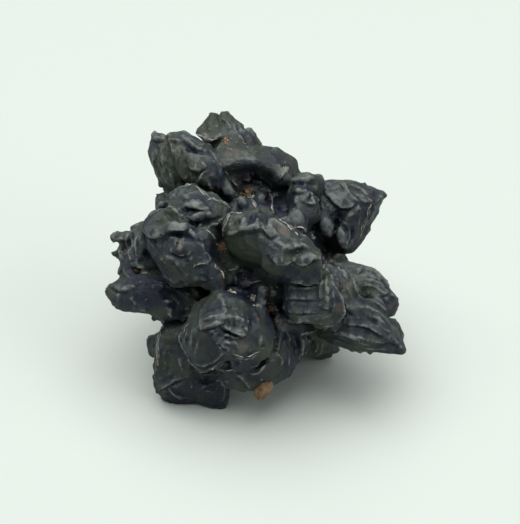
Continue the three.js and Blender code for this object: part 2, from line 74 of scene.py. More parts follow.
def linear(code: str) -> tuple[float, float, float, float]:
    """Turns an sRGB hex colour to the linear colour that nodes take.

    Args:
        code: six hex digits after a hash.

    Returns:
        Linear red, green and blue, and an alpha of 1.
    """
    shares = [int(code[i : i + 2], 16) / 255 for i in (1, 3, 5)]
    red, green, blue = (s / 12.92 if s <= 0.04045 else ((s + 0.055) / 1.055) ** 2.4 for s in shares)
    return (red, green, blue, 1.0)


def add_node(
    tree: bpy.types.NodeTree,
    kind: str,
    links: dict[str | int, bpy.types.NodeSocket] | None = None,
    values: dict[str | int, object] | None = None,
    stops: Sequence[tuple[float, str]] = (),
    **settings: object,
) -> bpy.types.Node:
    """Adds one node to a tree, with its settings, fixed values, colour stops and links.

    Args:
        tree: the node tree.
        kind: the node's type name.
        links: input name or number to the output that feeds it.
        values: input name or number to a fixed value.
        stops: for a colour ramp, its (place, hex colour) stops.
        settings: the node's own properties.

    Returns:
        The new node.
    """
    node = tree.nodes.new(kind)
    for name, value in settings.items():
        setattr(node, name, value)
    for key, value in (values or {}).items():
        node.inputs[key].default_value = value
    for key, output in (links or {}).items():
        tree.links.new(output, node.inputs[key])
    for i, (place, code) in enumerate(stops):
        stop = node.color_ramp.elements[i] if i < 2 else node.color_ramp.elements.new(place)
        stop.position = place
        stop.color = linear(code)
    return node


def add_object(name: str, data: bpy.types.ID) -> bpy.types.Object:
    """Makes an object and puts it in the scene.

    Args:
        name: the object's name.
        data: the mesh, curve, light or camera that it shows.

    Returns:
        The object.
    """
    made = bpy.data.objects.new(name, data)
    bpy.context.scene.collection.objects.link(made)
    return made


def new_mesh(name: str, shell: bmesh.types.BMesh) -> bpy.types.Mesh:
    """Writes a shell to a new mesh, and frees the shell.

    Args:
        name: the mesh's name.
        shell: the shell.

    Returns:
        The mesh.
    """
    mesh = bpy.data.meshes.new(name)
    shell.to_mesh(mesh)
    shell.free()
    return mesh


def evaluated_mesh(made: bpy.types.Object) -> bpy.types.Mesh:
    """Gives a new mesh of an object with its modifiers or its curve's thickness worked out."""
    return bpy.data.meshes.new_from_object(made.evaluated_get(bpy.context.evaluated_depsgraph_get()))


def dress(made: bpy.types.Object, finish: bpy.types.Material, smooth: bool = False) -> None:
    """Gives a piece its finish and reports it.

    Args:
        made: the piece's object.
        finish: its material.
        smooth: whether its faces are shaded as one smooth surface.
    """
    if smooth:
        made.data.polygons.foreach_set("use_smooth", [True] * len(made.data.polygons))
    made.data.materials.clear()
    made.data.materials.append(finish)
    LOG.info("%s: %d triangles", made.name, sum(len(face.vertices) - 2 for face in made.data.polygons))


def nearest_finder(points: Sequence[Sequence[float]]) -> KDTree:
    """Makes a tree that finds the nearest of some points.

    Args:
        points: the points. The tree gives their numbers.

    Returns:
        The tree.
    """
    finder = KDTree(len(points))
    for i, point in enumerate(points):
        finder.insert(point, i)
    finder.balance()
    return finder


def distances(knots: np.ndarray) -> np.ndarray:
    """Gives how far along a line each of its knots is."""
    return np.concatenate([[0.0], np.cumsum(np.linalg.norm(np.diff(knots, axis=0), axis=1))])


def eased(share: np.ndarray) -> np.ndarray:
    """Gives a share from 0 to 1 a soft start and a soft end."""
    return share * share * (3 - 2 * share)


@dataclass(frozen=True)
class ShowSide:
    """The side the nodule is shown from. Its own directions are across, up and towards the viewer."""

    tilt: float = math.radians(35.0)
    centre: Place = (-0.1, -1.1807, 21.9)
    eye: Place = (0.667, -1.0, 300.0)

    def axes(self) -> np.ndarray:
        """Gives across, up and towards as the rows of a matrix, in the part's frame."""
        sine, cosine = math.sin(self.tilt), math.cos(self.tilt)
        return np.array([[1.0, 0.0, 0.0], [0.0, sine, cosine], [0.0, -cosine, sine]])

    def turn(self) -> Matrix:
        """Gives the turn that brings across, up and towards to the part's frame."""
        return Matrix(self.axes().tolist()).transposed().to_4x4()

    def to_part(self, points: np.ndarray | Sequence[float]) -> np.ndarray:
        """Turns points given across, up and towards to the part's frame.

        Args:
            points: an array of points, or one.

        Returns:
            The same points in the part's frame, in millimetres.
        """
        return np.asarray(points) @ self.axes() + np.array(self.centre)

    def look(self, tree: BVHTree, place: Point) -> tuple[Vector | None, Vector | None]:
        """Finds the skin behind a place, as the eye sees it.

        Args:
            tree: the skin, in millimetres.
            place: the place, across and up.

        Returns:
            The point found and the outward direction there, or nothing for both where there is no skin.
        """
        eye = self.to_part(self.eye)
        return tree.ray_cast(Vector(eye), Vector(self.to_part((*place, 0.0)) - eye))[:2]


class Mark(Enum):
    """The kinds of stroke, by how the skin moves beside the stroke's line."""

    LEDGE = "a lip that drops steeply on the right of its line"
    FOLD = "a raised crest with hollowed sides"
    WELT = "a soft raised bead"
    CLEFT = "a sharp furrow"
    DISH = "a soft hollow"
    SINK = "a deep hollow, pressed straight in from the show side"

    @property
    def spread(self) -> tuple[float, float]:
        """The shares of its width and rise that a stroke of this kind is worked at."""
        shares = {
            Mark.LEDGE: (1.4, 1.35),
            Mark.FOLD: (1.2, 1.3),
            Mark.WELT: (1.4, 1.0),
            Mark.CLEFT: (1.2, 1.15),
        }
        return shares.get(self, (1.0, 1.0))

    def lift(self, side: np.ndarray) -> np.ndarray:
        """Gives how far the skin moves, against the stroke's rise.

        Args:
            side: distance from the line against the half-width, from -1 on the right to 1 on the left.

        Returns:
            A share of the rise, negative where the skin sinks.
        """
        share = np.abs(side)
        if self is Mark.LEDGE:
            lip, foot, depth = 0.12, 0.42, 0.6
            fall = eased(np.clip((-side - lip) / (foot - lip), 0.0, 1.0))
            under = -depth * np.clip((1 + side) / (1 - foot), 0.0, 1.0) ** 1.5
            return np.where(side > -lip, np.clip(1 - np.maximum(side, 0), 0, 1), (1 - fall) + fall * under)
        if self is Mark.FOLD:
            return (1 - share) ** 1.4
        if self is Mark.CLEFT:
            return -((1 - share) ** 1.5)
        bead = (1 - share**2) ** 2
        return bead if self is Mark.WELT else -bead


@dataclass(frozen=True)
class Stroke:
    """A stroke over the show side: its kind, half-width and rise, and its line's places across and up."""

    mark: Mark
    width: float
    rise: float
    path: tuple[Point, ...]


def strokes(mark: Mark, *rows: tuple[float, float, Sequence[Point]]) -> tuple[Stroke, ...]:
    """Makes strokes of one kind from rows of half-width, rise and path."""
    return tuple(Stroke(mark, width, rise, tuple(path)) for width, rise, path in rows)


@dataclass(frozen=True)
class Spot:
    """A place on the show side where something is left on the skin, or where light or shade is painted.

    Dust paints light where it is positive and shade where it is negative, with some fine pale wear: the skin
    is made paler or darker than around it.
    """

    place: Point
    reach: float
    rust: float = 0.0
    clay: float = 0.0
    olive: float = 0.0
    tan: float = 0.0
    dust: float = 0.0


@dataclass(frozen=True)
class Crystal:
    """A small rounded crystal in a hollow: place, half-length, half-width, turn in degrees, how proud."""

    place: Point
    long: float
    wide: float
    turn: float
    proud: float = 0.0

    def grow(self, shell: bmesh.types.BMesh, show: ShowSide, tree: BVHTree) -> Vector | None:
        """Adds the crystal's shape to a shell.

        Args:
            shell: the shell, in metres.
            show: the side it is set into.
            tree: the skin under it, in millimetres.

        Returns:
            The crystal's middle, in millimetres, or nothing if there is no skin under it.
        """
        # A crystal on the outline may miss the skin, so places further in are tried too.
        across, up = self.place
        places = [(across * share, up * share, 0.0) for share in (1.0, 0.97, 0.94, 0.91, 0.88)]
        eye = Vector(show.to_part(show.eye))
        aims = [Vector(show.to_part(place)) - eye for place in places]
        found = next((hit for hit in (tree.ray_cast(eye, aim)[0] for aim in aims) if hit is not None), None)
        if found is None:
            return None
        aim = aims[0].normalized()
        middle = eye + aim * (found - eye).length - aim * self.proud
        turn = show.turn() @ Matrix.Rotation(math.radians(self.turn), 4, "Z")
        shape = Matrix.Diagonal((self.long, self.wide, self.wide, 1.0))
        matrix = Matrix.Translation(middle * MM) @ turn @ shape
        bmesh.ops.create_icosphere(shell, subdivisions=3, radius=MM, matrix=matrix, calc_uvs=False)
        return middle


# Deep hollows, and with a negative rise what stands closer than the solid has it.
HOLLOWS = strokes(
    Mark.SINK,
    # brought forward
    (2.1, -2.6, [(3.9, 14.4), (4.4, 12.6), (5.2, 11.2)]),
    (1.5, -2.4, [(9.8, 5.6), (10.2, 4.0)]),
    (1.3, -1.0, [(13.2, 7.2), (13.8, 5.6)]),
    (2.2, -0.9, [(-7.2, -15.0), (-4.4, -15.6), (-2.0, -15.4)]),
    # the boss's shoulder
    (3.4, 2.2, [(-6.4, -11.8), (-4.2, -12.2), (-2.4, -12.6)]),
    # upper cavity
    (2.6, 0.3, [(-2.4, 13.6), (-0.2, 14.0), (1.6, 13.0)]),
    (1.9, 1.6, [(-2.8, 12.6), (-0.8, 12.8), (1.4, 12.4), (3.0, 11.2)]),
    (2.0, 2.4, [(-3.6, 10.6), (-1.4, 9.8), (1.4, 9.4), (4.6, 9.2)]),
    (1.0, 1.6, [(-14.8, 11.7), (-14.3, 10.6)]),
    (0.9, 1.6, [(-9.2, 11.3), (-8, 10.9), (-6.6, 10.5), (-5.2, 9.8), (-4.4, 9.2)]),
    (0.7, 0.9, [(-9, 19.2), (-7.8, 18.7), (-6.6, 19.0)]),
    (0.6, 0.8, [(-1.8, 18.7), (-0.9, 18.1)]),
    # right gap
    (1.3, 3.2, [(11.2, 2.6), (11.5, 1.2), (12.2, 0.4)]),
    (1.0, 1.2, [(11.2, 9.2), (12.2, 8.7)]),
    (0.7, 1.2, [(9.4, 6.6), (9.4, 5.2)]),
    # between the left lobe and the centre lobe
    (1.0, 1.8, [(-6.8, 5.4), (-6, 4.2), (-5.8, 2.6)]),
    (1.8, 2.6, [(-3.6, -1.6), (-1.8, -2.8), (-0.2, -4.0)]),
    (1.1, 1.3, [(1.4, -4.6), (3.6, -6.2), (4.6, -8), (5, -10)]),
    (1.6, -3.0, [(-10.4, -5.4), (-8.6, -6.2)]),
    # shadow under the left lobe
    (1.9, 3.0, [(-16.2, -5.4), (-14.6, -6.4), (-13.2, -7.6), (-12.2, -9.2), (-12.2, -10.4)]),
    # under the lower boss
    (1.3, 2.0, [(-10, -20.6), (-8, -20.8), (-6.6, -20.2)]),
    (1.2, 1.8, [(5.0, -12.6), (6.0, -13.2), (6.6, -14.6), (6.4, -15.8)]),
    (0.7, 1.2, [(17.2, -6.1), (18.2, -6.7), (19.4, -7.1)]),
    (0.8, 1.2, [(11.2, -13.4), (12.4, -14)]),
)

# Steps, where one growth of crystal laps over the next.
LEDGES = strokes(
    Mark.LEDGE,
    # left lobe
    (1.2, 0.8, [(-18.4, 4.4), (-17.8, 3.7), (-16.6, 3.5), (-15.1, 3.6)]),
    (1.2, 0.75, [(-15.2, 4.0), (-14.4, 4.5), (-13.2, 4.5), (-12, 4.2), (-10.8, 3.7), (-10, 3.1)]),
    (1.0, 0.6, [(-12.6, 7.8), (-11.6, 8.3), (-10.6, 8.4), (-9.4, 8.1), (-8.4, 7.9)]),
    (1.1, 0.9, [(-11.2, 6.3), (-10, 6.1), (-9.2, 6.4), (-8.2, 6.8), (-6.8, 6.7)]),
    (0.6, 0.3, [(-14.2, 1.3), (-13.4, 0.6), (-12.4, 0.2), (-11.2, 0.4)]),
    # centre lobe
    (1.2, 0.5, [(-5.3, 4.2), (-4.4, 3.8), (-3.4, 4.1), (-2.4, 4.5), (-1.4, 4.6), (-0.2, 4.9), (1.2, 4.7)]),
    (0.7, 0.5, [(1.2, 4.7), (1.8, 4.0), (2.4, 3.3), (2.9, 3.4)]),
    (0.9, 0.7, [(2.6, -0.2), (3.6, -0.8), (4.6, -0.9), (5.6, -0.8), (6.2, -0.4)]),
    (0.9, 0.7, [(6.4, -0.6), (7, -1.1), (8, -1.1), (8.8, -0.7), (9.2, -0.2), (10.6, -0.3)]),
    (0.7, 0.6, [(4.6, -4.0), (5.6, -4.3), (6.4, -4.2), (7, -3.9), (7.8, -4.3), (8.6, -4.4), (10.2, -4.4)]),
    # upper left
    (0.8, 0.35, [(-17.2, 19.7), (-16.2, 19.5), (-15, 19.4)]),
    (0.7, 0.4, [(-14.0, 19.3), (-13.2, 19.1), (-12.2, 19.3)]),
    (0.9, 0.4, [(-12.2, 19.9), (-11.4, 19), (-10.6, 18.3), (-9.6, 17.7), (-8.2, 17.5)]),
    (0.9, 0.55, [(-11.1, 15.2), (-10.5, 14.5), (-9.6, 14.4), (-8.8, 14.7)]),
    # top
    (0.8, 0.5, [(-10, 20.3), (-9.2, 20), (-8.4, 19.6), (-7.6, 19.4), (-6.8, 19.5), (-6, 20), (-5, 20.0)]),
    (0.8, 0.35, [(5.4, 12.7), (6.6, 12.5), (8, 12.5), (9, 12.9), (10, 12.8)]),
    (0.7, 0.3, [(5.8, 10.8), (7, 10.7), (8.2, 10.9)]),
    (0.6, 0.3, [(8.2, 9), (9, 8.7), (9.8, 8.8)]),
    # upper right
    (0.8, 0.45, [(11.6, 10.6), (12.6, 9.6), (13.4, 8.8), (14.2, 8.3), (15.2, 8.2), (16.2, 8.6),
        (16.6, 9.3)]),
    (0.8, 0.4, [(16.9, 9.3), (18, 9.2), (19, 9.2)]),
    # far left
    (0.7, 0.35, [(-23.8, 2.9), (-23, 2.8), (-22, 2.8), (-21.6, 2.8)]),
    (0.7, 0.35, [(-24, -5.1), (-23.2, -5.5), (-22.6, -5.7), (-21.6, -5.6), (-20.7, -5.5)]),
    (0.6, 0.4, [(-20.4, -1.8), (-19.2, -1.9), (-18, -2.1)]),
    # lower boss
    (0.6, 0.5, [(-9.2, -12.1), (-8.4, -11.9), (-7.4, -11.7), (-6.4, -11.4), (-5.6, -11)]),
    (0.7, 0.7, [(-5.6, -11.6), (-4.8, -12.2), (-3.8, -12.6), (-2.8, -13), (-2, -13), (-1.6, -12.4)]),
    (0.6, 0.2, [(-5.6, -12.9), (-4.4, -13.4), (-3.4, -13.6), (-2.4, -13.5)]),
    (0.6, 0.2, [(-5.6, -14.2), (-4.6, -14.6), (-3.8, -15)]),
    (0.6, 0.5, [(-3.9, -16.2), (-3, -16.6), (-2, -16.9), (-1, -16.8), (-0.2, -16.3), (0.6, -15.8)]),
    (0.5, 0.25, [(-8.8, -10.6), (-7.8, -10.4), (-6.8, -10)]),
    # right block
    (0.6, 0.45, [(10.8, -8.5), (11.6, -8.6), (12.4, -8.5)]),
    (0.7, 0.25, [(5.2, -6.9), (6.6, -7), (8.6, -7.1), (10.4, -7)]),
    (0.6, 0.2, [(5.4, -9.2), (7.4, -9.4), (10, -9.2)]),
    (0.6, 0.4, [(5.2, -10.8), (6.2, -11), (7.2, -10.9), (8, -10.8)]),
    # spear
    (0.5, 0.3, [(14.8, -11.3), (16.4, -11.4), (18, -11.6), (19.4, -12.2), (20.4, -12.9), (21.4, -13.3),
        (22, -13.7)]),
    (0.5, 0.3, [(20.6, -6.5), (21.4, -6.3), (22, -6)]),
    # feet
    (0.7, 0.35, [(-16.6, -22.3), (-15.4, -21.8), (-14.4, -21.2), (-13.6, -20.5), (-12.6, -20.2),
        (-11.6, -20.1)]),
    (0.6, 0.4, [(-14.5, -22.2), (-14, -22.8), (-13.2, -23.3), (-12.2, -23.6), (-11.2, -23.6)]),
)

# Crests of crystal.
FOLDS = strokes(
    Mark.FOLD,
    # left lobe
    (0.7, 0.3, [(-15.4, 0.3), (-14.4, -0.2), (-13.2, -1.0), (-12.4, -2.2)]),
    (0.6, 0.35, [(-16.2, -1.6), (-15.2, -3), (-14, -4), (-13, -4.9), (-12.4, -5.5)]),
    (0.5, 0.3, [(-16.4, -2.6), (-15.2, -3.8), (-13.8, -5)]),
    (0.5, 0.25, [(-10.4, -2.1), (-10.1, -1.4), (-9.4, -1.2), (-8.6, -1.3), (-7.6, -0.5)]),
    (0.5, 0.3, [(-8.5, 0.5), (-7.9, 0), (-7.5, -0.5)]),
    (0.7, 0.3, [(-12.1, -4.2), (-11.2, -4.8), (-10.4, -5.4)]),
    (0.8, 0.5, [(-15.8, 8.5), (-14.6, 8.1), (-13.4, 7.4), (-12.6, 6.6)]),
    (0.6, 0.45, [(-14.6, 9.2), (-15.6, 8.8), (-16.6, 7.5), (-17.6, 6.7), (-18.4, 5.6), (-18.6, 4.6),
        (-18.3, 3.4)]),
    (0.6, 0.4, [(-18.3, 3.4), (-17.6, 2.4), (-17, 1.7), (-16.3, 0.8), (-16, 0)]),
    (0.5, 0.35, [(-13.2, 11.6), (-12, 11.7), (-10.7, 11.8)]),
    (0.5, 0.35, [(-10.2, 11.7), (-9.2, 10.9), (-8.4, 10.2), (-7.6, 9.7)]),
    (0.5, 0.3, [(-7.8, 9.5), (-6.8, 9.2), (-5.8, 8.9), (-5, 8.4), (-4.2, 7.7)]),
    (0.45, 0.3, [(-8.3, 4.3), (-7.4, 3.6), (-6.8, 2.6), (-6.4, 1.4)]),
    (0.45, 0.3, [(-8.4, 4.4), (-7.8, 5), (-7.2, 5.3), (-6.6, 5.2), (-6, 6), (-5.4, 6.1)]),
    (0.45, 0.35, [(-6.9, -1.2), (-6.5, -2), (-5.8, -2.6), (-5.3, -3.6)]),
    (0.4, 0.3, [(-5.4, -2.7), (-4.6, -2.2), (-3.4, -2.3), (-3.1, -1.7)]),
    (0.6, 0.2, [(-15.2, 2.8), (-13.8, 3.2), (-12.4, 2.9)]),
    (0.6, 0.2, [(-9.8, 2.4), (-8.8, 1.4), (-8.6, 0.4)]),
    (0.7, 0.2, [(-12.6, 10.4), (-11.4, 9.6), (-9.8, 9.4)]),
    # centre lobe
    (0.5, 0.35, [(-2.2, 7.1), (-3.6, 7.3), (-4.4, 6.9), (-5, 5.8), (-5.5, 4.6), (-5.4, 3.6), (-5, 2.4)]),
    (0.7, 0.3, [(-4.2, 6.2), (-4.2, 5.2), (-4.4, 4.2)]),
    (0.7, 0.35, [(-1.8, 6.4), (-2, 5.6), (-2.2, 4.8)]),
    (0.7, 0.35, [(0.4, 6.6), (0.4, 5.8), (0.2, 5.1)]),
    (1.1, 0.5, [(0.6, 7), (2, 6.5), (3.2, 5.6), (4.4, 4.7), (5.6, 3.8), (6.6, 3.4)]),
    (0.8, 0.35, [(1.8, 5.6), (2.6, 4.6), (3.2, 3.6), (3.4, 2.4)]),
    (0.7, 0.4, [(6.6, 3.2), (7.4, 2.6), (8.6, 2.2), (9.2, 1.6)]),
    (0.6, 0.3, [(7.4, 3.6), (8.4, 3.0), (9.2, 2.4)]),
    (0.7, 0.35, [(4.2, 2.2), (4.8, 1.3), (6.2, 1.4), (7.6, 1.8), (9, 1.4), (10, 0.4)]),
    (0.45, 0.4, [(10.6, 0.4), (11.1, -0.5), (11.3, -1.3), (11.1, -2.2)]),
    (0.4, 0.3, [(3.8, 6.2), (4.8, 5.5), (5.6, 4.8), (6.2, 4.2), (6.9, 3.4)]),
    # upper left
    (0.9, 0.5, [(-14.3, 20.3), (-14.2, 19), (-13.8, 18), (-13.4, 17), (-13.2, 16), (-13.3, 15.3)]),
    (0.5, 0.35, [(-14.4, 19), (-14.8, 18), (-14.8, 17), (-14.8, 15.8)]),
    (0.45, 0.35, [(-17.2, 17.2), (-17.2, 16.4), (-16.8, 15), (-16.3, 13.8), (-15.9, 12.6)]),
    (0.45, 0.4, [(-16, 17), (-16.2, 16.2), (-15.9, 14.8), (-15.4, 13.8), (-14.8, 12.6), (-14.2, 11.8),
        (-13.5, 11.1)]),
    (0.45, 0.35, [(-15.6, 17), (-15.6, 16), (-15.2, 14.8), (-15, 13.8), (-14.7, 13)]),
    (0.5, 0.4, [(-14.8, 14.7), (-14.2, 14), (-13.8, 13.2), (-13.6, 12.4), (-13.4, 11.6), (-13.3, 10.8)]),
    (0.4, 0.4, [(-15.6, 11), (-15, 10.4), (-14.4, 9.5), (-13.7, 9.8), (-13.4, 10.6)]),
    (0.6, 0.25, [(-12.4, 16.6), (-12.3, 15.6), (-12.5, 14.8)]),
    (0.4, 0.45, [(-8.5, 14.2), (-9, 13.7), (-9.4, 12.8), (-9.7, 12)]),
    (0.4, 0.4, [(-8.4, 12.7), (-7.8, 11.8), (-7.2, 11)]),
    (0.4, 0.3, [(-6.3, 11.9), (-6.3, 11.2), (-6.7, 10.7)]),
    (0.4, 0.3, [(-7.9, 17.8), (-7.3, 17), (-6.8, 16.2), (-6.3, 15.2)]),
    (0.5, 0.25, [(-16.2, 18.6), (-15.6, 18), (-15.8, 17.2)]),
    # top
    (0.5, 0.35, [(-6.1, 23.3), (-5.5, 22.7), (-4.8, 22.1), (-4.3, 21.4), (-4.1, 20.8)]),
    (0.5, 0.35, [(-3.6, 22), (-3.3, 20.9), (-2.8, 20), (-2.3, 19.1), (-1.5, 18.2), (-0.8, 17.6),
        (0, 17.5)]),
    (0.7, 0.35, [(0.4, 18), (1.8, 18.3), (3.2, 18.4), (4.2, 17.8), (5.4, 17.4)]),
    (0.4, 0.35, [(5, 14.8), (4.6, 13.8), (3.9, 12.8)]),
    (0.45, 0.3, [(10.2, 12.6), (10.5, 11.6), (10.5, 10.4), (10.4, 9)]),
    (0.4, 0.3, [(8, 7), (8.3, 6), (8.6, 5), (8.7, 4.2)]),
    (0.4, 0.3, [(5.6, 4.7), (6.6, 4.9), (7.6, 4.7), (8.2, 4.3)]),
    (0.4, 0.5, [(-4.2, 13), (-3.6, 12.2), (-3, 11.2)]),
    (0.4, 0.5, [(-5.8, 11.6), (-5.2, 10.6), (-4.5, 9.6), (-3.2, 9.2)]),
    (0.45, 0.7, [(-1, 10), (-0.6, 9.2), (-0.2, 8.4), (0.2, 7.8)]),
    (0.45, 0.7, [(2.2, 10.6), (2.6, 10), (2.8, 9), (2.6, 8.2), (2.8, 7.2)]),
    (0.5, 0.25, [(6.6, 10), (6.8, 9), (7.2, 8)]),
    (0.5, 0.25, [(9, 11.2), (9.2, 10), (9.4, 8.8), (9.4, 7.6)]),
    (0.4, 0.2, [(7.8, 10.2), (8, 9.2), (8.4, 8.2)]),
    (0.6, 0.2, [(-5.8, 18.2), (-4.4, 17.4), (-3, 17.3)]),
    (0.6, 0.2, [(2, 17.4), (3, 16.4), (3.4, 15.4)]),
    (0.5, 0.25, [(-8.6, 21.6), (-7.8, 21), (-7, 20.4)]),
    # upper right
    (0.5, 0.4, [(13, 12.8), (13.8, 12.5), (14.6, 11.9), (15, 11.3), (15.4, 10.6), (16.2, 9.9),
        (16.8, 9.2), (17, 8)]),
    (0.5, 0.4, [(15, 11.6), (16, 11.7), (17.2, 11.2), (18.2, 10.4), (18.9, 9.6), (19.3, 9)]),
    (0.5, 0.4, [(19.2, 9), (18.8, 8), (18.5, 6.8), (18, 5.5), (17.6, 4.3), (17.3, 3.2)]),
    (0.45, 0.35, [(21.4, 10.4), (20.6, 9.8), (19.8, 9.1), (19.4, 8.8)]),
    (0.45, 0.35, [(19.4, 8.8), (19.8, 8), (19.4, 7), (18.8, 6)]),
    (0.45, 0.3, [(17, 8.6), (16.4, 7.3), (15.4, 6.6), (15, 5.8), (14.8, 5.2)]),
    (0.4, 0.25, [(16, 8), (15.6, 7.2), (15, 6.6)]),
    (0.4, 0.35, [(15.2, 5.2), (15.5, 4), (15.4, 3), (14.9, 1.8), (14.5, 1.2)]),
    (0.5, 0.25, [(10.8, 12.2), (11.6, 11.4), (12, 10.8)]),
    (0.4, 0.2, [(17.2, 8.6), (17.4, 7), (17, 5.4), (16.8, 4)]),
    # far left
    (0.45, 0.35, [(-23.6, 2.2), (-22.9, 1.2), (-22.4, 0), (-22.2, -1.2)]),
    (0.5, 0.45, [(-20.4, 4.3), (-21, 3.6), (-21.4, 2.6), (-21.5, 1.8), (-21.2, 0.8), (-20.8, -0.4),
        (-20.7, -1.2)]),
    (0.5, 0.4, [(-19.4, 3.9), (-19.8, 3), (-20, 2), (-19.9, 1), (-19.8, 0), (-20, -1)]),
    (0.45, 0.3, [(-22.4, -1.8), (-22.8, -3), (-23.2, -3.8)]),
    (0.4, 0.3, [(-22, -2), (-21.8, -3), (-21.2, -3.6)]),
    (0.6, 0.3, [(-20.9, -6.2), (-20.6, -7.2), (-20, -7.9), (-19.4, -8.2)]),
    (0.6, 0.25, [(-21, -8), (-20, -8.6), (-19, -8.9), (-17.6, -8.6)]),
    (0.5, 0.3, [(-18.8, 4.8), (-18.9, 3.6), (-18.6, 2.6), (-18.2, 1.6)]),
    (0.5, 0.3, [(-19.6, 5.4), (-20.4, 4.9)]),
    # lower boss
    (0.45, 0.45, [(-11, -11.2), (-11.7, -12), (-12.5, -13), (-12.7, -14), (-12.2, -15.2), (-11.6, -16.6),
        (-11, -17.7)]),
    (0.45, 0.45, [(-11, -17.7), (-10.4, -18.4), (-9.5, -19.2), (-8.6, -19.4), (-7.8, -19.2),
        (-6.9, -18.6)]),
    (0.45, 0.4, [(-6.9, -18.6), (-6.2, -18.5), (-5.4, -19), (-4.6, -18.9), (-4, -18.8), (-3.2, -19.4)]),
    (0.45, 0.3, [(-11.3, -11.8), (-11.4, -13), (-11.7, -14), (-11.8, -15)]),
    (0.45, 0.3, [(-10.6, -12.6), (-10.6, -14), (-10.8, -15.4)]),
    (0.4, 0.15, [(-5.4, -11.3), (-5.3, -12.2), (-5.4, -12.9)]),
    (0.5, 0.3, [(-6, -6.6), (-5.6, -7.6), (-5.2, -8.8), (-5.1, -10.2)]),
    (0.4, 0.2, [(-4.4, -9), (-4.2, -10.6), (-4, -12)]),
    (0.4, 0.2, [(-3.4, -8.8), (-3.2, -10.4), (-3, -12.4)]),
    (0.4, 0.2, [(-2.4, -9.2), (-2.2, -10.6), (-2, -12.2)]),
    (0.4, 0.2, [(-1.4, -9.6), (-1.4, -11), (-1.6, -12)]),
    (0.5, 0.25, [(-9.4, -10), (-9.1, -11.4), (-8.9, -12.8)]),
    (0.5, 0.3, [(-9.4, -13.8), (-9.8, -15.4), (-10.2, -16.8)]),
    (0.5, 0.35, [(-10.4, -18), (-8.8, -18.3), (-7.4, -17.8), (-6.2, -17), (-5.2, -16), (-4.6, -15.2)]),
    (0.4, 0.3, [(-3.6, -14.2), (-3.2, -15), (-3, -15.8)]),
    (0.4, 0.3, [(0.9, -13.4), (0.6, -14.4), (0.8, -15)]),
    (0.5, 0.35, [(-3.4, -19.4), (-2.2, -20.4), (-1.2, -21.4), (-0.6, -22.6)]),
    (0.4, 0.35, [(-0.8, -19.8), (0.2, -19.4), (1.2, -18.6), (1.8, -18)]),
    (0.4, 0.25, [(1.4, -17.4), (2.2, -17.2), (3, -17.4)]),
    (0.5, 0.25, [(-8, -7), (-8.8, -8.6), (-9.4, -10.2)]),
    (0.5, 0.2, [(-1, -8), (-0.2, -9.4), (0.4, -11), (0.6, -12.6)]),
    # right block
    (0.5, 0.25, [(5.6, -5.2), (7.4, -5.4), (9, -5.3), (10.4, -5.2)]),
    (0.5, 0.4, [(10.8, -2.4), (10.7, -4), (10.7, -6.4), (10.8, -8)]),
    (1.0, 0.7, [(11.6, -2.6), (11.7, -4.4), (11.8, -6.4), (11.8, -7.8)]),
    (0.5, 0.4, [(11.4, -2.2), (12.2, -2.7), (12.5, -3.6), (12.6, -4.6), (13, -5.3), (13.6, -6.2)]),
    (0.9, 0.8, [(13.2, -5.8), (13.8, -7.2), (14, -8.8), (13.8, -10.2), (13.6, -11)]),
    (0.4, 0.3, [(12.9, -6.8), (12.9, -8), (12.7, -9.4)]),
    (0.5, 0.25, [(9, -10.6), (11, -10.2), (12.6, -9.9)]),
    (0.45, 0.3, [(8.8, -12), (10.4, -11.6), (12.4, -11.5), (14, -11.3)]),
    (0.45, 0.35, [(10, -12.4), (12, -12.2), (13.4, -11.8), (14.3, -11.3), (14.8, -10.8)]),
    (0.4, 0.4, [(5, -12.4), (5.3, -13.2), (5.8, -14.2)]),
    (0.4, 0.35, [(4.3, -13), (3.9, -14.2), (3.8, -15.2), (3.4, -16.4)]),
    (0.4, 0.45, [(7.8, -13.6), (7.8, -15), (7.4, -16.4), (7, -17.8), (6.8, -19)]),
    (0.4, 0.4, [(8.4, -15.6), (8.2, -17), (7.6, -18.2), (7.1, -18.8)]),
    (0.4, 0.4, [(10.7, -13.8), (11, -14.8), (10.6, -16), (9.9, -16.8)]),
    (0.4, 0.35, [(10.1, -14.1), (10.2, -15.2), (9.6, -16.2)]),
    (0.4, 0.4, [(7.4, -13.2), (8.2, -12.8), (9, -12.5), (9.8, -12.4)]),
    (0.4, 0.3, [(3.4, -16.2), (4.2, -17), (4.2, -18), (3.4, -18.6)]),
    (0.4, 0.3, [(5.6, -15.4), (5.4, -17), (5.2, -18.6)]),
    (0.4, 0.3, [(-1.2, -4.6), (-0.2, -4.4), (0.8, -4.1), (1.4, -4.4)]),
    (0.4, 0.3, [(-3.4, -3), (-3.6, -4.2), (-3.2, -5)]),
    (0.4, 0.3, [(2.4, -4.6), (3.2, -5.6), (3.8, -6.8), (4.2, -8)]),
    # spear
    (0.5, 0.4, [(13.2, -1.2), (13.8, -1.8), (14.6, -2.8), (15, -3.6)]),
    (0.5, 0.4, [(14.8, -2.3), (15.6, -2.8), (16, -3.6), (16.1, -4.6), (16.5, -5.8), (17, -6.6),
        (17.8, -7.1)]),
    (0.5, 0.4, [(17.8, -7.1), (19, -7.4), (20.4, -8), (21.2, -8.9), (22, -9.9), (22.6, -10.6)]),
    (0.6, 0.6, [(17.8, -1.9), (18.8, -2.2), (20, -2.9), (21, -4), (21.8, -5), (22.4, -6)]),
    (0.5, 0.45, [(17.2, -4.3), (19, -4.2), (20.6, -4.8), (21.6, -5.8)]),
    (0.5, 0.4, [(17.2, -4.8), (19, -5.1), (20.6, -5.8), (21.6, -7)]),
    (0.5, 0.25, [(17.2, -3.9), (18.8, -3.4), (20.2, -3.9), (21.2, -5)]),
    (0.5, 0.3, [(22, -6.2), (23, -6.8), (24, -7.5)]),
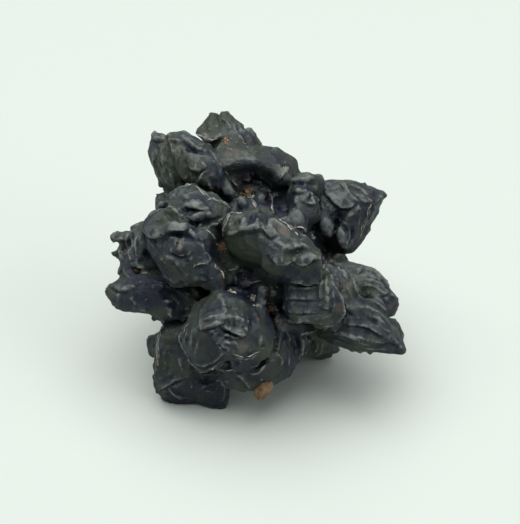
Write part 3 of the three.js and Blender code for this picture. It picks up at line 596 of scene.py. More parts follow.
    (1.2, 0.7, [(16.4, -8.4), (18.2, -8.8), (20, -9.8), (21.6, -11), (22.8, -12.2)]),
    (0.5, 0.3, [(17.6, -9.4), (18.8, -10.2), (20.2, -10.6), (21.4, -11.6), (22.2, -12.6)]),
    (0.45, 0.35, [(15, -13.2), (17, -13.6), (19, -14.1), (21, -14.3), (22, -14), (22.2, -13.4)]),
    (0.45, 0.3, [(10.6, -12.9), (13, -12.7), (15.6, -13.3), (17, -14.2), (18.4, -14.7), (20.4, -14.8)]),
    (0.45, 0.3, [(16.4, -14.3), (18, -15), (19.4, -15.4), (21, -15.3), (22.8, -15.6)]),
    (0.4, 0.25, [(12.6, -13.6), (14.2, -14.2), (16, -15)]),
    (0.5, 0.25, [(14.8, -4.2), (15.2, -5.4), (16, -7), (17, -8)]),
    (0.5, 0.25, [(22.6, -13.4), (23.4, -14.4), (24.6, -15.8)]),
    # feet
    (0.45, 0.4, [(-15, -10.9), (-15.9, -12.2), (-16.2, -13.8), (-16.3, -15.4), (-16.3, -17),
        (-16.4, -18.6), (-16.8, -20)]),
    (0.45, 0.3, [(-15.8, -10.9), (-16.4, -11.8), (-16.7, -13), (-16.8, -14.4), (-17, -16)]),
    (0.5, 0.25, [(-16.2, -20.6), (-15, -20), (-13.6, -19)]),
    (0.4, 0.4, [(-10.8, -20.2), (-10.8, -21.4), (-10.7, -22.2)]),
    (0.5, 0.35, [(-6, -20), (-5.4, -21.2), (-5.3, -22.6), (-5.4, -24)]),
    (0.4, 0.25, [(-12.8, -16.4), (-12.6, -18), (-12, -19.4)]),
)

# Furrows between crystals.
CLEFTS = strokes(
    Mark.CLEFT,
    # left lobe
    (0.8, 0.7, [(-15.8, 7.6), (-14.6, 7.0), (-13.4, 6.3), (-12.4, 5.7)]),
    (0.5, 0.35, [(-16.9, 5.9), (-16.4, 5.7), (-15.9, 5.6)]),
    (0.5, 0.3, [(-11.9, 6.6), (-12, 5.8)]),
    (0.4, 0.25, [(-13.8, -1.4), (-13, -2), (-12.2, -3.4)]),
    (0.4, 0.25, [(-10.2, -3), (-8.6, -3.4), (-7.4, -4.2)]),
    # centre lobe
    (0.6, 0.6, [(-3.1, 6.4), (-3, 5.4), (-3.2, 4.6)]),
    (0.6, 0.65, [(-0.1, 7.2), (-0.6, 6.2), (-1.1, 5.4), (-1.4, 4.8)]),
    (0.5, 0.5, [(1.3, 6.3), (1.6, 5.6), (1.7, 4.9)]),
    (0.8, 0.8, [(5.2, -0.1), (6.2, 0.3), (7.2, 0.8), (8.2, 1.2)]),
    (0.4, 0.3, [(9.4, 0.6), (10.2, -0.1)]),
    (0.5, 0.2, [(-3.6, 0.6), (-1.6, 0.8), (0.4, 0.4)]),
    # upper left
    (0.6, 0.45, [(-14.2, 18.4), (-14.1, 17.2), (-13.9, 16)]),
    (0.5, 0.35, [(-16.5, 18.6), (-16.5, 17), (-16.5, 15.8)]),
    (0.5, 0.4, [(-12.8, 17.8), (-12.9, 16.4)]),
    (0.45, 0.5, [(-7.3, 17.8), (-6.8, 17), (-6.3, 16), (-5.9, 14.8)]),
    (0.4, 0.3, [(-11.6, 14.6), (-11.2, 13.4), (-11, 12.4)]),
    # top
    (0.5, 0.45, [(-8.5, 22), (-8.2, 21.4), (-8.2, 20.8)]),
    (0.45, 0.5, [(-6.4, 23.4), (-5.8, 22.5), (-5.2, 21.9), (-4.8, 21)]),
    (0.45, 0.7, [(-3.1, 22), (-3.1, 21.2), (-2.9, 20.4)]),
    (0.6, 0.7, [(-2, 18.9), (-1.4, 18.3), (-0.8, 17.9), (-0.2, 17.9)]),
    (0.4, 0.3, [(-4.8, 19.6), (-4.2, 19.2), (-3.6, 19)]),
    (0.4, 0.5, [(4.6, 15.6), (4.5, 14.8), (5, 15.2), (5.3, 15.3)]),
    (0.4, 0.45, [(6, 9.9), (5.9, 9), (5.9, 8.1)]),
    (0.5, 0.4, [(8.8, 12.2), (9.6, 12.1), (10.1, 12.2)]),
    (0.5, 0.4, [(9.9, 8.6), (9.7, 7.4), (9.5, 6.6)]),
    (0.4, 0.3, [(0.4, 18.4), (0.6, 17.4), (0.4, 16.6)]),
    # upper right
    (0.4, 0.3, [(11.9, 11.1), (13.2, 11.1), (14.4, 11.5)]),
    (0.5, 0.5, [(15.7, 10.6), (16.4, 9.9), (17, 9.1)]),
    (0.4, 0.4, [(19.2, 7.8), (19.2, 7)]),
    (0.6, 0.6, [(13.4, 7.4), (13.4, 5.4), (13.2, 3.6)]),
    (0.5, 0.5, [(10.5, 7.8), (10.4, 6.4)]),
    (0.5, 0.5, [(16, 4.8), (16, 3), (15.5, 1.6)]),
    (0.4, 0.3, [(11.6, 12.5), (11.2, 11.6), (11, 10.6)]),
    # far left
    (0.4, 0.4, [(-24.2, -5.2), (-23.4, -5.6), (-22.6, -5.9)]),
    (0.6, 0.8, [(-20.2, -2.4), (-19.4, -2.8), (-18, -2.8)]),
    (0.5, 0.4, [(-20.7, 3.6), (-20.8, 2.2), (-20.4, 0.6)]),
    (0.4, 0.3, [(-22.2, 2.2), (-21.9, 1)]),
    # lower boss
    (0.4, 0.35, [(-5.6, -8.6), (-4.6, -8.6), (-3.4, -8.2)]),
    (0.45, 0.15, [(-5.4, -13.3), (-4.4, -13.8), (-3.4, -13.9)]),
    (0.45, 0.45, [(-10, -18.4), (-8.4, -18.6), (-7, -18.1), (-5.8, -17.2), (-4.9, -16)]),
    (0.4, 0.15, [(-5.2, -14.5), (-4.4, -14.9), (-3.9, -15.4)]),
    (0.5, 0.4, [(-3.4, -20), (-2.4, -21), (-1.4, -22.2)]),
    (0.4, 0.4, [(0.8, -15), (1.6, -15.1)]),
    (0.5, 0.3, [(-1.1, -13.2), (-0.6, -12), (-0.8, -10.8)]),
    # right block
    (0.5, 0.7, [(13.3, -5.1), (13.8, -5.6), (14.4, -5.5)]),
    (0.5, 0.6, [(4.6, -13), (5.2, -14), (5.6, -15)]),
    (0.4, 0.4, [(5.1, -5.4), (5.1, -7.4), (5, -9.4)]),
    (0.4, 0.3, [(12.6, -5.2), (12.4, -6.4), (12.5, -7.8)]),
    (0.4, 0.35, [(14.8, -7.2), (14.7, -8.8), (14.9, -10)]),
    (0.4, 0.35, [(9.4, -13.2), (9.2, -14.4), (9, -15.6)]),
    # spear
    (0.5, 0.7, [(16.6, -4.4), (16.9, -5.6), (17.3, -6.3), (18.2, -6.7), (19.2, -7.0), (20.2, -7.6)]),
    (0.5, 0.4, [(16.2, -2.5), (17.2, -2.9), (18.2, -2.3)]),
    (0.4, 0.4, [(20.2, -2.6), (21, -3.4), (21.6, -4.4)]),
    (0.4, 0.3, [(20.8, -6.7), (21.4, -7.4), (22.2, -8.6)]),
    (0.4, 0.3, [(19.8, -9), (20.8, -9.9), (21.6, -10.8)]),
    (0.5, 0.5, [(14.9, -9), (15.4, -9.6), (15.9, -10)]),
    (0.4, 0.3, [(21.6, -14.6), (23, -14.9), (24.2, -15.6)]),
    # feet
    (0.4, 0.4, [(-16.8, -13.4), (-17, -15), (-16.8, -16.8)]),
    (0.4, 0.4, [(-10.8, -20), (-10.9, -21.4)]),
    (0.4, 0.3, [(-14.8, -16), (-14.6, -18), (-15, -19.6)]),
)

# Soft beads of skin.
WELTS = strokes(
    Mark.WELT,
    # left lobe
    (0.9, 0.35, [(-10.6, 6.9), (-9.6, 7.3), (-8.8, 7.6)]),
    (1.3, 0.3, [(-13.4, 1.6), (-12, 1.1)]),
    (0.5, 0.3, [(-15.8, -0.4), (-15.1, -0.6)]),
    (1.4, 0.3, [(-12, 10.4), (-10.2, 10.2), (-8.6, 9.2)]),
    (1.2, 0.3, [(-11, -3.6), (-9.4, -3.6), (-8, -3)]),
    # centre lobe
    (1.0, 0.35, [(3.9, 0.1), (5, 0)]),
    (1.0, 0.05, [(7.2, -0.2), (8.3, -0.1)]),
    (0.8, 0.2, [(1.8, -0.8), (1.6, -2), (2.8, -2.8)]),
    (0.6, 0.2, [(-2.4, 2.4), (-0.8, 1.6)]),
    # upper left
    (1.0, 0.3, [(-11.4, 17.2), (-10.2, 16.6), (-8.8, 16.4)]),
    (0.9, 0.35, [(-10.5, 15.1), (-9.4, 15.1)]),
    (1.2, 0.25, [(-7.6, 14), (-7.2, 12.8)]),
    (0.8, 0.2, [(-12, 13.6), (-11.4, 12.8)]),
    (1.0, 0.3, [(-9.4, 18.9), (-8.4, 18.3)]),
    # top
    (1.4, 0.3, [(-5.6, 17.6), (-3.6, 17.4), (-2, 17.2)]),
    (1.1, 0.3, [(6, 16.6), (6.6, 15.8)]),
    (0.5, 0.3, [(5, 15), (5, 14.2)]),
    (1.0, 0.3, [(2.6, 14.6), (3.6, 14)]),
    (1.3, 0.3, [(6.2, 13.4), (8, 13.4), (9.2, 13.3)]),
    (1.1, 0.25, [(8.6, 10.2), (9.2, 9.6)]),
    (0.9, 0.25, [(7, 9.4), (7.2, 8.6)]),
    (0.9, 0.8, [(-1.6, 13.4), (-1.2, 12.6)]),
    (0.9, 0.9, [(-1.8, 10.6), (-1, 11.2)]),
    (0.7, 0.6, [(0.6, 13.6), (1, 12.8)]),
    (0.8, 0.8, [(3.6, 10.6), (3.4, 9.8)]),
    # upper right
    (1.6, 0.2, [(13.4, 10.2), (15, 9.4)]),
    (1.0, 0.25, [(17, 10.2), (18, 9.9)]),
    (1.1, 0.3, [(15.6, 7.6), (16.2, 7)]),
    # far left
    (1.2, 0.25, [(-23, -4.6), (-21.8, -4.6)]),
    (1.6, 0.25, [(-23.4, -7), (-22.4, -7.4)]),
    (0.9, 0.4, [(-18.6, -8.8), (-16.6, -9), (-14.6, -9.4), (-13.2, -9.8)]),
    # lower boss
    (1.5, 0.1, [(-4.2, -10), (-2.8, -11)]),
    (0.7, 0.25, [(-10.4, -11.8), (-10.2, -13.2)]),
    (1.2, 0.25, [(-5.2, -17.6), (-4.4, -18.2)]),
    # right block
    (0.9, 0.7, [(-2.6, -1.8), (-2.2, -2.6)]),
    (0.8, 0.6, [(-0.4, -2.4), (0.2, -2.8)]),
    (0.9, 0.6, [(2.8, -5.4), (3, -6.6)]),
    (0.8, 0.5, [(1.2, -7.6), (2, -8)]),
    (0.7, 0.5, [(3.4, -8.6), (3.6, -9.4)]),
    (0.6, 0.5, [(-3.6, -4.2), (-3.2, -4.8)]),
    # spear
    (0.9, 0.3, [(17, -1.7), (17.8, -1.9)]),
    (1.4, 0.25, [(18.4, -3.6), (19.6, -4.6)]),
    (0.5, 0.3, [(22.9, -9.3), (23, -9.6)]),
    (0.9, 0.25, [(22.6, -11.6), (23.4, -12.4)]),
    (0.7, 0.25, [(18.2, -9.2), (19.2, -9.8)]),
    # feet
    (1.4, 0.3, [(-13.4, -21.2), (-12.2, -21.8)]),
    (0.5, 0.35, [(-6.6, -20.4), (-6.2, -21)]),
    (0.5, 0.35, [(-5.7, -23.2), (-5.5, -23.7)]),
    (0.5, 0.3, [(-14.1, -15.2), (-13.9, -15.6)]),
    (1.1, 0.4, [(-4.8, -20.2), (-4.2, -21.2)]),
)

# Shallow hollows.
DISHES = strokes(
    Mark.DISH,
    # left lobe
    (0.9, 0.4, [(-11.9, 7.5), (-11.2, 7.3)]),
    (1.4, 0.55, [(-10.2, 5.3), (-8.4, 5.4), (-6.8, 5.6)]),
    (0.9, 0.3, [(-14.4, 2.6), (-12, 3.2)]),
    (0.7, 0.3, [(-14.2, -1), (-13.5, -1.6)]),
    (0.7, 0.3, [(-11.6, -0.4), (-11.4, -1.4)]),
    (0.8, 0.5, [(-12.6, -4.6), (-12, -4.5)]),
    (1.0, 0.8, [(-17.7, 0.6), (-17.6, -0.2)]),
    (0.8, 0.4, [(-9.2, 10.0), (-9.4, 9.8)]),
    # centre lobe
    (2.2, 0.5, [(-3.4, 2.4), (-1, 2.6), (1, 2.4)]),
    (0.7, 0.6, [(5.0, 2.8), (5.6, 2.6)]),
    (0.5, 0.4, [(5.9, 1.9), (6.1, 1.7)]),
    (0.6, 0.4, [(3.3, 1.8), (3.9, 1.4)]),
    (0.5, 0.4, [(3.2, 3.4), (3.3, 3.0)]),
    (2.0, 0.35, [(3, -2.2), (6, -2.4), (9, -2.4)]),
    (0.5, 0.7, [(6.5, -4.6), (7.4, -4.6)]),
    # upper left
    (0.9, 0.4, [(-12.8, 18.4), (-12.5, 17.2)]),
    (1.1, 0.45, [(-11.8, 18.3), (-10.6, 17.5), (-9.6, 17.2)]),
    (0.8, 0.35, [(-12, 16.2), (-11.6, 15)]),
    (1.0, 0.6, [(-10.2, 13.8), (-10.2, 12.8)]),
    (0.9, 0.35, [(-16.7, 18.8), (-16.6, 17.6)]),
    # top
    (0.9, 0.3, [(-4.8, 21), (-4.2, 20.6)]),
    (1.0, 0.3, [(7, 11.6), (8.4, 11.6)]),
    (1.2, 0.5, [(4.4, 8.6), (4.6, 7.4)]),
    (0.7, 0.4, [(8.9, 9.6), (8.6, 9.2)]),
    (1.3, 0.3, [(-1.4, 19.9), (-0.8, 19.2)]),
    # upper right
    (1.1, 0.4, [(17.8, 8.2), (17.8, 6.6), (17.4, 5)]),
    (0.9, 0.5, [(13.8, 7.4), (13.9, 5.6)]),
    (0.9, 0.4, [(12, 9.6), (12.4, 8.6)]),
    (0.8, 0.3, [(20.2, 10.6), (19.6, 10)]),
    # far left
    (0.7, 0.3, [(-20.6, 3), (-20.6, 1.4)]),
    (0.8, 0.4, [(-22.4, 2), (-22, 0.8)]),
    (1.0, 0.8, [(-18.4, 0.8), (-17.8, 0.2)]),
    (1.5, 0.6, [(-19.6, -4.2), (-18.4, -5.2)]),
    (1.4, 0.3, [(-19.4, -6.6), (-18, -7.2)]),
    # lower boss
    (2.0, 0.5, [(-7.2, -14), (-7.4, -15.6), (-8.6, -17)]),
    (0.9, 0.5, [(-3.6, -17.6), (-2.8, -18.4)]),
    (0.9, 0.3, [(-1, -18.4), (0.2, -17.8)]),
    # right block
    (0.6, 0.4, [(11.9, -6.3), (12.2, -6.5)]),
    (0.5, 0.4, [(11.7, -5.2), (12.2, -5)]),
    (0.5, 0.4, [(12.0, -9.2), (12.6, -9.5)]),
    (0.6, 0.4, [(12.4, -10.2), (12.9, -10.5)]),
    (0.8, 0.7, [(9, -15.0), (9.4, -14.2)]),
    (0.7, 0.5, [(8.6, -13.4), (9.4, -13.4)]),
    (1.0, 0.3, [(6, -17), (6, -18.4)]),
    # spear
    (1.0, 0.5, [(17.6, -5.6), (18.8, -6)]),
    (1.0, 0.3, [(22.4, -7.4), (22, -8.4)]),
    (1.6, 0.3, [(15.4, -6.6), (16.2, -8)]),
    (0.9, 0.3, [(16, -12.4), (18.4, -12.8), (20, -13.4)]),
    # feet
    (0.8, 0.4, [(-5.9, -22), (-6.4, -22.4)]),
    (1.2, 0.3, [(-14.6, -13.6), (-14.4, -17)]),
)

STROKES = (*LEDGES, *FOLDS, *CLEFTS, *WELTS, *DISHES)

# Small rounded crystals in the hollows: place, half-length, half-width, turn, how proud.
CRYSTALS = (
    # upper cavity
    Crystal((-4.7, 11.3), 2.1, 1.0, -58, 1.0),
    Crystal((-2.4, 8.9), 1.4, 0.9, -65, 0.7),
    Crystal((0.9, 9.6), 1.15, 1.1, 0, 1.1),
    Crystal((6.8, 6.1), 1.7, 1.5, 100, 0.1),
    # right gap
    Crystal((11.6, 5.4), 2.6, 1.4, -72, 1.2),
    Crystal((14.3, 3.0), 1.9, 0.95, -80, 0.6),
    # middle hollow
    Crystal((-4.4, -4.0), 1.2, 0.7, 60, 0.4),
    Crystal((-1.6, -4.6), 1.2, 0.7, 20, 0.5),
    Crystal((1.2, -5.9), 1.0, 0.9, 0, 0.6),
    Crystal((0.8, -7.4), 1.2, 0.7, -40, 0.4),
    Crystal((3.2, -9.4), 1.2, 0.7, -70, 0.4),
    # crests along the outline
    Crystal((-9.0, 20.9), 1.2, 0.8, 30, -0.8),
    Crystal((-7.3, 22.3), 1.5, 1.2, 80, -0.8),
    Crystal((-4.8, 22.8), 1.7, 1.0, -52, -0.8),
    Crystal((-1.5, 19.8), 2.0, 0.9, -52, -0.8),
    Crystal((-17.0, 20.0), 0.9, 0.6, 80, -0.6),
    Crystal((-13.2, 20.1), 1.6, 0.9, 0, -0.8),
    Crystal((-23.7, 0.4), 0.6, 0.5, 0, -0.3),
    Crystal((-23.5, 3.1), 1.0, 0.5, 10, -0.3),
    # foot of the boss
    Crystal((-5.2, -18.2), 1.3, 1.1, 0, 0.6),
    Crystal((-2.2, -15.2), 1.8, 1.3, 15, -0.5),
)

# Spots of painted light where positive and painted shade where negative, with some wear: across, up, reach,
# and the paler or darker share (dust and painted light).
PAINTED_LIGHT_AND_SHADE_SPOTS = (
    (1.6, 9.2, 2.6, -0.4),
    (0.9, 9.8, 0.9, 0.5),
    (-0.4, 14.0, 2.6, 0.3),
    (0.8, 6.4, 2.4, -0.6),
    (-15.4, 13.4, 3.0, 0.7),
    (-3.8, 12.2, 2.4, 0.8),
    (4.8, 12.2, 2.0, 0.8),
    (2.6, 16.4, 2.6, -0.55),
    (-7.8, -8.6, 2.4, -0.35),
    (0.0, -10.4, 2.6, -0.35),
    (20.0, -6.2, 3.2, 0.4),
    (-4.2, -6.0, 2.2, -0.35),
    (8.0, 11.4, 2.0, -0.3),
    (-11.4, 17.8, 1.8, -0.3),
    (-9.6, 9.8, 1.8, -0.3),
    (-10.2, 3.2, 1.6, -0.25),
    (16.7, -10.8, 1.8, -0.3),
    (-10.8, -13.8, 2.0, 0.3),
    (-5.4, -17.8, 1.6, 0.35),
    (10.0, 4.6, 1.6, 0.3),
    (19.6, 6.6, 2.2, 0.3),
    (12.0, -11.8, 2.2, 0.3),
    (6.9, 6.0, 1.8, 0.2),
    (-1.0, -6.0, 2.2, -0.35),
    (2.6, -10.6, 2.0, -0.3),
    (3.6, 8.0, 2.6, -0.8),
    (-17.0, -6.0, 3.6, -0.4),
    (-13.0, -8.0, 2.4, -0.3),
    (-9.4, -8.6, 2.2, -0.35),
    (4.2, 13.2, 2.2, 0.5),
    (-4.8, 11.4, 1.4, 0.5),
    (11.8, 4.8, 2.6, 0.2),
    (-16.6, 15.4, 2.4, 0.3),
    (-6.2, 1.4, 2.2, 0.5),
    (-21.5, -3.4, 2.6, -0.3),
    (-19.0, -4.6, 2.4, -0.4),
    (4.4, 17.8, 1.8, -0.3),
    (-14.0, 19.0, 1.4, -0.2),
    (-1.0, -3.6, 2.6, -0.3),
    (3.0, -8.0, 2.4, -0.5),
    (-14.0, -15.0, 3.4, -0.15),
    (-9.0, -22.6, 3.4, -0.25),
    (-7.2, -15.6, 2.2, -0.15),
    (-16.4, 14.6, 2.4, 0.25),
    (-5.6, 14.6, 1.6, 0.2),
    (7.6, 13.2, 2.2, 0.2),
    (14.4, 3.2, 1.8, 0.1),
    (14.4, 10.0, 2.2, 0.25),
    (19.0, -3.8, 2.6, 0.3),
    (15.6, -6.0, 2.0, 0.25),
    (-4.6, -10.6, 2.4, 0.2),
    (-5.0, 21.6, 3.4, 0.2),
)

# What is left on the skin: place, reach, then rust, clay, olive and tan.
SPOTS = (
    Spot((-5.7, 1.6), 1.2, rust=1.1),
    Spot((-5.6, 1.9), 0.4, clay=0.6),
    Spot((-12.8, 1.5), 0.8, rust=0.4, clay=0.3),
    Spot((-12.6, 1.4), 1.6, tan=0.8),
    Spot((-15.5, -0.5), 0.6, rust=0.5, clay=0.35),
    Spot((-13.6, -1.4), 1.4, tan=0.5),
    Spot((-19.7, -2.2), 0.6, rust=0.7, clay=0.3),
    Spot((-18.7, -2.7), 0.8, rust=0.5, clay=0.9),
    Spot((-1.6, 10.6), 0.9, rust=1.0),
    Spot((-0.8, 11.2), 0.8, rust=0.6, clay=0.4),
    Spot((-0.7, 9.7), 0.6, rust=0.3, clay=0.8),
    Spot((-1.3, 13.2), 1.0, rust=0.5),
    Spot((-4.9, 19.2), 0.7, rust=0.8),
    Spot((-4.6, 18.5), 0.9, rust=0.45, clay=0.3),
    Spot((-3.8, 17.4), 2.6, tan=0.8),
    Spot((-3.9, -6.0), 0.9, rust=0.4, clay=0.8),
    Spot((-0.4, -6.9), 0.7, clay=0.9),
    Spot((0.3, -8.2), 0.7, clay=0.9),
    Spot((2.3, -8.9), 0.9, rust=0.9),
    Spot((3.5, -10.8), 0.9, rust=0.6, clay=0.6),
    Spot((9.5, 3.4), 0.8, clay=0.7, olive=1.0),
    Spot((13.8, 0.3), 1.1, rust=0.6, clay=0.5),
    Spot((12.5, -0.9), 0.9, rust=0.6, clay=0.5),
    Spot((5.0, 14.6), 0.6, clay=0.8),
    Spot((-9.0, -12.8), 1.0, rust=0.4, tan=0.6),
    Spot((6.5, -10.0), 1.4, olive=1.0, clay=0.2),
    Spot((9.3, -11.0), 1.2, olive=0.8),
    Spot((-13.5, -4.0), 1.2, olive=0.8),
    Spot((-10.2, -6.5), 0.9, rust=0.35, clay=0.3),
    Spot((-10.0, 15.1), 1.0, olive=0.9),
    Spot((18.6, -9.4), 1.0, rust=0.3, tan=0.7),
    Spot((20.8, -6.4), 0.7, rust=0.3),
    Spot((4.8, 4.3), 1.7, tan=1.0),
    Spot((3.0, 5.6), 1.2, tan=0.7),
    Spot((11.8, -4.0), 1.3, tan=0.6),
    Spot((11.8, -7.0), 1.3, tan=0.6),
    Spot((13.9, -8.5), 1.5, tan=0.8),
    Spot((15.4, -5.2), 1.6, tan=0.8),
    Spot((17.0, -8.4), 1.7, tan=0.5),
    Spot((20.2, -9.8), 1.6, tan=0.6),
    Spot((22.9, -11.9), 1.0, tan=0.9),
    Spot((-2.4, -15.2), 1.7, tan=0.9),
    Spot((-11.0, 10.0), 2.2, tan=0.4),
    Spot((-12.6, 18.0), 1.2, tan=0.7),
    Spot((-6.6, 8.4), 1.4, tan=0.4),
    *(Spot((across, up), reach, dust=dust) for across, up, reach, dust in PAINTED_LIGHT_AND_SHADE_SPOTS),
)


def along_fold(across: float, up: float) -> tuple[Point, ...]:
    """Gives the path of the fold that starts at a place."""
    return next(fold.path for fold in FOLDS if fold.path[0] == (across, up))


# Threads of pale clay and worn edge, which along the crests also stand in for pale highlight lines: width,
# pallor, places.
SEAMS = (
    (0.4, 1.0, [(-2.2, 7.1), (-3, 7.1), (-4, 7.4), (-4.6, 6.9)]),
    (0.34, 1.0, [(-4.4, 7), (-5, 5.8), (-5.5, 4.6), (-5.4, 3.6), (-5, 2.4)]),
    (0.2, 0.8, along_fold(-10.2, 11.7)),
    (0.26, 0.9, [(-8, 9.3), (-7.4, 9.6), (-6.6, 9.2)]),
    (0.22, 0.8, [(-6.8, 9.2), (-5.8, 8.9), (-5, 8.4), (-4.2, 7.7)]),
    (0.26, 0.9, [(-11.6, 11.7), (-10.6, 11.9)]),
    (0.16, 0.6, [(-13.2, 11.6), (-11.6, 11.7)]),
    (0.22, 0.8, along_fold(-8.3, 4.3)),
    (0.18, 0.65, along_fold(-8.4, 4.4)),
    (0.2, 0.7, [(-8.5, 0.5), (-7.9, 0), (-7.6, -0.6), (-8.6, -1.3), (-10, -1.3), (-10.4, -2.1)]),
    (0.22, 0.85, along_fold(-6.9, -1.2)),
    (0.2, 0.75, along_fold(-5.4, -2.7)),
    (0.16, 0.6, [(-12, 6.5), (-11.9, 5.8)]),
    (0.24, 0.85, [(-9.9, 20.3), (-9.2, 20), (-8.4, 19.6), (-7.2, 19.4), (-6.4, 19.7)]),
    (0.2, 0.6, along_fold(-3.6, 22)),
    (0.34, 0.9, along_fold(-1, 10)),
    (0.28, 0.75, [(2.2, 10.6), (2.6, 10), (2.8, 9), (2.8, 7.2)]),
    (0.2, 0.7, along_fold(-4.2, 13)),
    (0.16, 0.6, [(-5.2, 14.2), (-4.9, 13.8), (-4.6, 13.2)]),
    (0.18, 0.75, along_fold(-8.5, 14.2)),
    (0.24, 0.8, along_fold(5, 14.8)),
    (0.28, 0.95, along_fold(3.8, 6.2)),
    (0.2, 0.8, along_fold(5.6, 4.7)),
    (0.2, 0.6, along_fold(19.2, 9)),
    (0.18, 0.55, [(13, 12.8), (13.8, 12.5), (14.6, 11.9), (15, 11.3)]),
    (0.18, 0.55, [(16, 11.7), (17.2, 11.2), (18.2, 10.4), (19.3, 9)]),
    (0.18, 0.6, [(10.6, 0.4), (11.2, -0.5), (11.3, -1.3), (11.1, -2.2)]),
    (0.22, 0.8, along_fold(13.2, -1.2)),
    (0.18, 0.6, [(14.8, -2.3), (15.6, -2.8), (16, -3.6)]),
    (0.18, 0.6, [(5.3, -4.3), (6.4, -4.2), (7, -3.9), (7.8, -4.3)]),
    (0.16, 0.55, along_fold(-1.2, -4.6)),
    (0.2, 0.7, along_fold(-11, -11.2)),
    (0.22, 0.75, along_fold(-11, -17.7)),
    (0.18, 0.65, along_fold(-6.9, -18.6)),
    (0.2, 0.7, [(-3.8, -16.3), (-3, -16.6), (-2, -16.9), (-1, -16.8), (-0.2, -16.3), (0.8, -15.8)]),
    (0.18, 0.6, along_fold(-0.8, -19.8)),
    (0.18, 0.6, [(0.9, -15), (1.6, -15)]),
    (0.2, 0.65, [(-15, -10.9), (-15.9, -12.2), (-16.2, -13.8), (-16.3, -15.4), (-16.3, -17),
        (-16.4, -18.6)]),
    (0.18, 0.6, [(-15.4, -9.9), (-14.6, -9.8), (-14, -10.2)]),
    (0.16, 0.5, [(-14.4, -22.4), (-13.2, -23.3), (-11.6, -23.7)]),
    (0.2, 0.7, [(7.4, -13.2), (8.2, -12.8), (9, -12.5)]),
    (0.18, 0.55, [(7.8, -13.6), (7.8, -15), (7.4, -16.4), (6.8, -19)]),
)


class Skin:
    """The nodule's surface as arrays in millimetres, with the ways its points are moved and painted."""

    def __init__(self, mesh: bpy.types.Mesh) -> None:
        """Reads a mesh.

        Args:
            mesh: the mesh, in metres. It is written to again by store.
        """
        self.mesh = mesh
        count = len(mesh.vertices)
        flat = np.empty(count * 3, dtype=np.float32)
        mesh.vertices.foreach_get("co", flat)
        self.points = flat.reshape(-1, 3).astype(np.float64) / MM
        ends = np.empty(len(mesh.edges) * 2, dtype=np.int32)
        mesh.edges.foreach_get("vertices", ends)
        self.edges = ends.reshape(-1, 2)
        self.degree = np.bincount(self.edges.ravel(), minlength=count).astype(np.float64)[:, None]

    def store(self) -> None:
        """Writes the points back to the mesh, in metres."""
        self.mesh.vertices.foreach_set("co", (self.points * MM).astype(np.float32).ravel())
        self.mesh.update()

    def settle_on_floor(self) -> None:
        """Brings up the points that are below the floor, and writes the points back."""
        self.points[:, 2] = np.maximum(self.points[:, 2], 0.0)
        self.store()

    def normals(self) -> np.ndarray:
        """Gives the outward direction at each point."""
        self.store()
        flat = np.empty(len(self.points) * 3, dtype=np.float32)
        self.mesh.vertex_normals.foreach_get("vector", flat)
        return flat.reshape(-1, 3).astype(np.float64)

    def averaged(self, values: np.ndarray, rounds: int) -> np.ndarray:
        """Blurs a value over the skin.

        Args:
            values: one row, or one number, for each point.
            rounds: how many times each point takes the average of itself and its neighbours.

        Returns:
            The blurred values.
        """
        one, two = self.edges.T
        count = len(self.points)
        rows = values if values.ndim > 1 else values[:, None]
        for _ in range(rounds):
            sums = [np.bincount(one, row[two], count) + np.bincount(two, row[one], count) for row in rows.T]
            rows = 0.5 * (rows + np.stack(sums, axis=1) / self.degree)
        return rows if values.ndim > 1 else rows[:, 0]

    def relax(self, rounds: int) -> None:
        """Rounds the skin off evenly by averaging its points."""
        self.points = self.averaged(self.points, rounds)

    def relief(self, rounds: int) -> np.ndarray:
        """Gives each point's height above the skin blurred by that many rounds, in millimetres."""
        return np.einsum("ij,ij->i", self.points - self.averaged(self.points, rounds), self.normals())

    def crispen(self, rounds: int, strength: np.ndarray) -> None:
        """Sharpens the relief that blurring by that many rounds would lose."""
        self.points = self.points + strength[:, None] * (self.points - self.averaged(self.points, rounds))

    def push(self, amount: np.ndarray) -> None:
        """Moves each point outwards by its own amount."""
        self.points = self.points + self.normals() * amount[:, None]

    def tree(self) -> BVHTree:
        """Gives the skin as a tree that rays can be cast at, in millimetres."""
        faces = [tuple(face.vertices) for face in self.mesh.polygons]
        return BVHTree.FromPolygons([tuple(point) for point in self.points.tolist()], faces)

    def paint(self, name: str, values: np.ndarray) -> None:
        """Keeps a value for each point on the mesh, for the material to read."""
        layer = self.mesh.attributes.new(name, "FLOAT", "POINT")
        layer.data.foreach_set("value", values.astype(np.float32))


